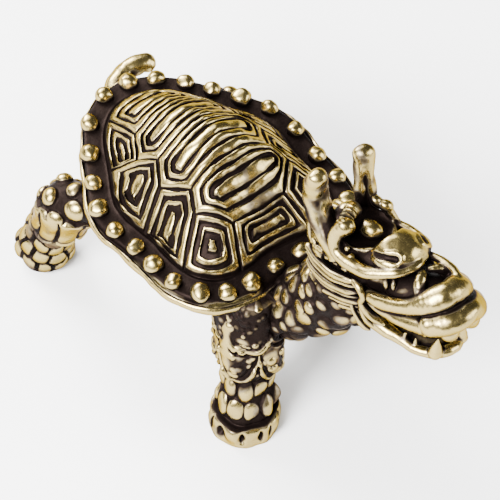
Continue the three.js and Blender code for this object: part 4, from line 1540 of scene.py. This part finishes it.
def carve_temples(wax):
    """The ridge round the hollow and the curls below it, which differ from side to side."""
    wax.ball((1.0, -0.5, 2.1), (0.9, 1.5, 0.9), 0.3)
    wax.rope(NEAR_RIDGE, 0.2)
    wax.rope(FAR_RIDGE, 0.15)
    for bead in BEADS:
        wax.ball(*bead, 0.06)
    wax.rope(FAR_NOSTRIL, 0.2)
    random = np.random.default_rng(4)
    for side in np.repeat([-1, 1], CURLS_A_SIDE):
        forward = -0.7 + 4.4 * random.random()
        up = -1.5 + 0.15 * forward + 1.5 * random.random()
        out = side * (2.75 + 0.2 * random.random())
        tip = (forward + 0.5, out, up - 0.2, 0.12)
        wax.rope([(forward, out, up, 0.26), (forward + 0.35, out + 0.15 * side, up + 0.2, 0.18), tip], 0.08)


def head_film(points):
    """Film in the hollow behind the brow, on the bridge of the nose and beside the eye's slit."""
    forward, left, up = points.T
    aside = np.abs(left)
    hollow = smoothstep(-1.5, -0.5, forward) * (1 - smoothstep(3.4, 4.0, forward)) * (aside < 2.1)
    bridge = smoothstep(5.8, 6.6, forward) * (1 - smoothstep(9.6, 10.4, forward)) * (aside < 2.6)
    slit, _ = smooth_path(EYE_SLIT, 12)
    beside = np.stack([forward, aside, up], axis=1)
    from_slit = np.min([np.linalg.norm(beside - spot[:3], axis=1) for spot in slit], axis=0)
    film = 0.35 * hollow * (up > 0.3) * (up < 2.95)
    film = film + 0.3 * bridge * smoothstep(-1.5, -1.0, up) * (up < 0.9)
    return film + 0.6 * (1 - smoothstep(0.15, 0.4, from_slit)) + 0.16 * lumps(points, 1.5, 41)


def make_head():
    wax = Wax((-3.6, 0.0, -8.2), (14.6, 4.6, 4.6), HEAD_CELL)
    carve_half(wax)
    wax.mirrored()
    carve_temples(wax)
    points, quads = wax.lift()
    return piece("head", on_head(points), [quads], head_film(points))


head = make_head()

# %% [markdown]
# ## Horns and pearl
#
# The horns are smooth, blunt and slightly lumpy, the near one bent back and the far one nearly
# straight with a groove up its front. Tubes of changing width make them. A small pearl lies in
# the hollow behind the brow, and one ball of wax is enough for that.

# %% Make the horns and the pearl
HORNS = {
    # depth of the groove, then forward, left and up, and the half-widths
    "right_horn": (
        0.06,
        [
            ((2.0, -2.7, -0.4), 0.8, 0.8),
            ((1.4, -2.6, 1.0), 1.0, 0.95),
            ((0.55, -2.4, 2.0), 1.1, 1.05),
            ((-0.2, -2.25, 3.0), 1.1, 1.1),
            ((-0.5, -2.2, 4.4), 1.0, 1.02),
            ((-0.2, -2.3, 6.0), 0.88, 0.9),
            ((0.35, -2.45, 7.5), 0.7, 0.7),
        ],
    ),
    "left_horn": (
        0.3,
        [
            ((0.7, 2.0, -0.4), 0.95, 0.95),
            ((0.5, 2.1, 1.8), 0.9, 0.9),
            ((0.2, 2.3, 4.2), 0.88, 0.88),
            ((0.1, 2.5, 6.0), 0.85, 0.85),
            ((0.1, 2.55, 7.2), 0.8, 0.8),
        ],
    ),
}


def make_horn(name):
    groove, stations = HORNS[name]

    def flute(s, turn, length):
        return -groove * bell(turn, 4.1, 0.28) * (1 - smoothstep(0.55, 0.8, s / length))

    stations = [[*on_head(point), a, b] for point, a, b in stations]
    points, faces = skin(tube(stations, 90, 76, side=head_side, relief=flute, blunt_end=True))
    points = along_normals(points, faces, 0.05 * lumps(points, 0.7, 43))
    return piece(name, points, faces, 0.18 + 0.4 * lumps(points, 0.9, 42))


def make_pearl():
    wax = Wax((1.6, -1.2, 0.2), (4.4, 1.2, 2.9), 0.08)
    wax.ball((3.0, 0, 1.4), (1.0, 0.8, 0.72), 0.1)
    points, quads = wax.lift()
    return piece("pearl", on_head(points), [quads], -0.1)


horns = [make_horn(name) for name in HORNS]
pearl = make_pearl()

# %% [markdown]
# ## Mane and crest
#
# Long locks run forward along each side of the neck to the back of the jaw, where shorter ones
# cross them. Shorter plain locks hang down the nape, which the photo doesn't show. At the top of
# the near ridge a short twisted lock lies like a stack of rings. Locks and rings both follow
# paths, so Geometry Nodes make them: a tapered tube for a lock, and flattened balls set one
# behind the other for the crest.

# %% Comb the mane
STRANDS = [
    # radius, then places forward, out to the side and up
    (0.34, [(-1.6, 2.6, -1.3), (0.0, 3.05, -1.75), (1.6, 3.3, -1.75), (3.2, 3.35, -1.4), (4.3, 3.2, -1.1)]),
    (0.2, [(-1.6, 2.6, -2.0), (0.0, 3.1, -2.45), (1.6, 3.35, -2.4), (3.2, 3.35, -2.0), (4.3, 3.2, -1.7)]),
    (0.34, [(-1.6, 2.6, -2.9), (0.0, 3.1, -3.25), (1.6, 3.35, -3.1), (3.2, 3.35, -2.7), (4.4, 3.2, -2.3)]),
    (0.17, [(-1.5, 2.6, -3.6), (0.1, 3.1, -3.9), (1.7, 3.3, -3.7), (3.3, 3.3, -3.25), (4.5, 3.1, -2.9)]),
    (0.27, [(-1.4, 2.6, -4.3), (0.2, 3.1, -4.55), (1.8, 3.25, -4.3), (3.4, 3.2, -3.8), (4.8, 3.0, -3.4)]),
    (0.17, [(-1.2, 2.6, -4.9), (0.3, 3.0, -5.15), (1.9, 3.15, -4.85), (3.6, 3.1, -4.3), (5.0, 2.9, -3.9)]),
    (0.25, [(-1.0, 2.5, -5.5), (0.5, 2.9, -5.7), (2.1, 3.0, -5.35), (3.8, 3.0, -4.75), (5.4, 2.8, -4.3)]),
    (
        0.3,
        [
            (3.9, 3.2, -1.0),
            (4.9, 3.45, -1.2),
            (5.2, 3.45, -2.0),
            (4.9, 3.4, -2.9),
            (5.5, 3.1, -4.0),
            (6.6, 2.7, -4.8),
        ],
    ),
    (0.24, [(3.6, 3.2, -3.9), (4.1, 3.3, -4.8), (4.5, 3.1, -5.7), (5.1, 2.8, -6.4)]),
    (0.2, [(4.6, 3.2, -3.6), (5.0, 3.2, -4.6), (5.6, 2.9, -5.4), (6.4, 2.6, -5.9)]),
]
NAPE_RADIUS = 0.4
LOCK_SIDES = 14


def nape_locks():
    """Plainer locks down the back of the neck."""
    locks = []
    for k, left in enumerate(np.linspace(-0.4, 1.7, 5)):
        fall = 0.35 * np.cos(k * 2.0)
        back = np.sqrt(max(0.0, 1 - (left / 3.0) ** 2))
        backward = [(-0.8, 0.3, 1.0, -0.2), (-2.0, 0.9, 1.1, -0.8), (-2.2, 1.0, 1.15, -3.2 + fall)]
        backward.append((-1.9, 0.9, 1.2, -5.4 + fall))
        locks.append((NAPE_RADIUS, [(f - b * back, left * wide, up) for f, b, wide, up in backward]))
    return locks


def make_strands(name, locks):
    lines = []
    for radius, stations in locks:
        path, _ = smooth_path(stations, 44)
        share = np.linspace(0, 1, len(path))
        taper = radius * np.sqrt(np.clip(np.minimum(share / 0.06, (1 - share) / 0.16), 0.02, 1))
        lines.append(np.c_[on_head(path), taper])
    recipe = Recipe("locks_of_hair")
    sides = recipe.size("Sides", LOCK_SIDES, "NodeSocketInt")
    fullness = recipe.size("Fullness", 1.0 * MM)
    round_lock = {"Resolution": sides, "Radius": fullness}
    circle = recipe.node("GeometryNodeCurvePrimitiveCircle", {"mode": "RADIUS"}, round_lock)
    width = recipe.node("GeometryNodeInputRadius", {}, {})
    inputs = {"Curve": recipe.inputs, "Profile Curve": circle, "Scale": width, "Fill Caps": True}
    swept = recipe.node("GeometryNodeCurveToMesh", {}, inputs)
    made = recipe.run(curve_object(name, lines), swept)
    tidy_mesh(made.data)
    return finish_piece(made)


def on_side(side):
    return [(radius, [(f, l * side, u) for f, l, u in stations]) for radius, stations in STRANDS]


manes = [make_strands("right_mane", on_side(-1)), make_strands("left_mane", on_side(1))]
nape = make_strands("nape_locks", nape_locks())

# %% Stack the crest
CREST = [(2.3, -2.35, 3.14), (2.22, -1.98, 3.2), (2.12, -1.62, 3.24), (2.0, -1.27, 3.26), (1.84, -0.92, 3.26)]
CREST_RADIUS = 0.62


def make_crest():
    path, _ = smooth_path(CREST, 60)
    line = np.c_[on_head(path), np.ones(len(path))]
    recipe = Recipe("rings_on_a_path")
    count = recipe.size("Rings", 5, "NodeSocketInt")
    radius = recipe.size("Radius", CREST_RADIUS * MM)
    parts = {"Curve": recipe.inputs, "Count": count}
    spots = recipe.node("GeometryNodeCurveToPoints", {"mode": "COUNT"}, parts)
    bead = recipe.node("GeometryNodeMeshUVSphere", {}, {"Segments": 28, "Rings": 16, "Radius": radius})
    facing = spots.outputs["Rotation"]
    on_spots = {"Points": spots, "Instance": bead, "Rotation": facing, "Scale": (1.0, 1.0, 0.3)}
    rings = recipe.node("GeometryNodeInstanceOnPoints", {}, on_spots)
    made = recipe.run(curve_object("crest", [line]), rings)
    set_patina_and_shade(made.data, -0.35)
    return finish_piece(made)


crest = make_crest()

# %% [markdown]
# ## Painted shade where the wheel can't reach
#
# Film also stays wherever something stands in the wheel's way, and shade falls in the same
# places: under the horns, between the locks, below the rim. The darkening made here is painted
# shade as much as film. To find such places all the surfaces are counted into a coarse grid and
# spread over the width of the wheel. The space just in front of a point is then looked up: the
# more there is in it, the darker that point is made.

# %% Paint shade into the sheltered places
SHELTER_CELL = 0.22
SHELTER_AHEAD = 0.75  # how far in front of a point to look
SHELTER_SHADE_GAIN = 3.0


def spread(grid, half):
    """Each cell becomes the mean of a cube of cells round it."""
    for axis in range(3):
        grid = np.moveaxis(grid, axis, 0)
        before, after = np.zeros((half + 1, *grid.shape[1:])), np.zeros((half, *grid.shape[1:]))
        total = np.cumsum(np.concatenate([before, grid, after]), axis=0)
        grid = (total[2 * half + 1 :] - total[: -2 * half - 1]) / (2 * half + 1)
        grid = np.moveaxis(grid, 0, axis)
    return grid


def look_up(grid, spots):
    """Values between the cells' middles."""
    spots = np.clip(spots, 0, np.array(grid.shape) - 1.001)
    base = spots.astype(int)
    share = spots - base
    total = np.zeros(len(spots))
    for corner in np.ndindex(2, 2, 2):
        weight = np.prod(np.where(corner, share, 1 - share), axis=1)
        total += weight * grid[tuple((base + corner).T)]
    return total


def paint_shade_in_shelter():
    shapes = [mesh_arrays(made.data) for made in pieces]
    low = np.min([points.min(axis=0) for points, _ in shapes], axis=0) - 3
    high = np.max([points.max(axis=0) for points, _ in shapes], axis=0) + 3
    grid = np.zeros(((high - low) / SHELTER_CELL).astype(int) + 1)
    for points, triangles in shapes:
        for spots in (points, points[triangles].mean(axis=1)):
            grid[tuple(((spots - low) / SHELTER_CELL).astype(int).T)] = 1
    grid = spread(spread(grid, 2), 2)
    for made, (points, triangles) in zip(pieces, shapes):
        ahead = points + point_normals(points, triangles) * SHELTER_AHEAD
        crowd = look_up(grid, (ahead - low) / SHELTER_CELL - 0.5)
        # Sheltered places are darkened: painted shade, with the film left there.
        set_patina_and_shade(made.data, patina_and_shade_of(made.data) + SHELTER_SHADE_GAIN * np.clip(crowd - 0.06, 0, 0.3))
    print("looked for shelter in", grid.size, "cells")


paint_shade_in_shelter()

# %% [markdown]
# ## Floor and light
#
# The photo's ground is white and most of its glints are wide and soft. Brass shows what is
# round it more than its own colour, so the lamps are large dim sheets of light whose edges can
# be seen in the studs. The two main ones have a smaller, brighter middle for the sharp glints,
# and the room between them is left dimmer to keep the gold deep.

# %% Floor, lamps and room
FLOOR_HALF = 1500.0
FLOOR_STOPS = [(0.0, (0.76, 0.76, 0.76)), (1.0, (0.8, 0.8, 0.8))]
LAMPS = {
    # azimuth and elevation in degrees, distance, width and height in metres, watts
    "lamp_left_of_view": (80, 42, 0.42, 0.42, 0.38, 4.9),
    "its_bright_middle": (80, 42, 0.4, 0.17, 0.15, 8.5),
    "lamp_behind": (178, 38, 0.42, 0.45, 0.34, 4.7),
    "middle_of_that": (175, 34, 0.4, 0.2, 0.1, 5.0),
    "lamp_right_of_view": (-45, 20, 0.42, 0.25, 0.22, 2.4),
}
ROOM_STRENGTH = 0.13


def make_floor():
    corners = np.array([[-1, -1, 0], [1, -1, 0], [1, 1, 0], [-1, 1, 0]]) * FLOOR_HALF
    made = new_object("floor", corners, [np.array([[0, 1, 2, 3]])])
    finish = Finish("pale_floor")
    where = finish.node("ShaderNodeTexCoord", {}, {}, "Object")
    cloud = finish.node("ShaderNodeTexNoise", {}, {"Vector": where, "Scale": 9.0, "Detail": 2.0}, "Fac")
    tone = finish.node("ShaderNodeValToRGB", {"stops": FLOOR_STOPS}, {"Fac": cloud})
    finish.set(Base_Color=tone, Roughness=0.7)
    made.data.materials.append(finish.material)
    made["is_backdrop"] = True
    return made


def add_lamp(name, azimuth, elevation, distance, width, height, watts):
    """A sheet of light aimed at the figure. Azimuth 0 is its front, growing to its right."""
    data = bpy.data.lights.new(name, "AREA")
    data.shape = "RECTANGLE"
    data.size, data.size_y = width, height
    data.energy = watts
    lamp = bpy.data.objects.new(name, data)
    bpy.context.scene.collection.objects.link(lamp)
    turn, lift = np.radians(azimuth), np.radians(elevation)
    away = Vector((-np.sin(turn) * np.cos(lift), -np.cos(turn) * np.cos(lift), np.sin(lift)))
    lamp.location = Vector((0, 0, 0.014)) + away * distance
    lamp.rotation_euler = away.to_track_quat("Z", "Y").to_euler()
    lamp.visible_camera = False


def set_room(strength):
    world = bpy.data.worlds.new("room")
    world.use_nodes = True
    bpy.context.scene.world = world
    background = world.node_tree.nodes["Background"]
    background.inputs["Color"].default_value = (1.0, 1.0, 1.0, 1.0)
    background.inputs["Strength"].default_value = strength


floor = make_floor()
for name, settings in LAMPS.items():
    add_lamp(name, *settings)
set_room(ROOM_STRENGTH)

# %% [markdown]
# ## Last things
#
# The box of what was made is printed beside the box of the plain casting, to see that nothing
# has grown past it.

# %% Measure and finish
made_low, made_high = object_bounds()
for name, low, high in (("casting", cad_low, cad_high), ("visual", made_low, made_high)):
    print(name, [round(v / MM, 2) for v in high - low], "mm")
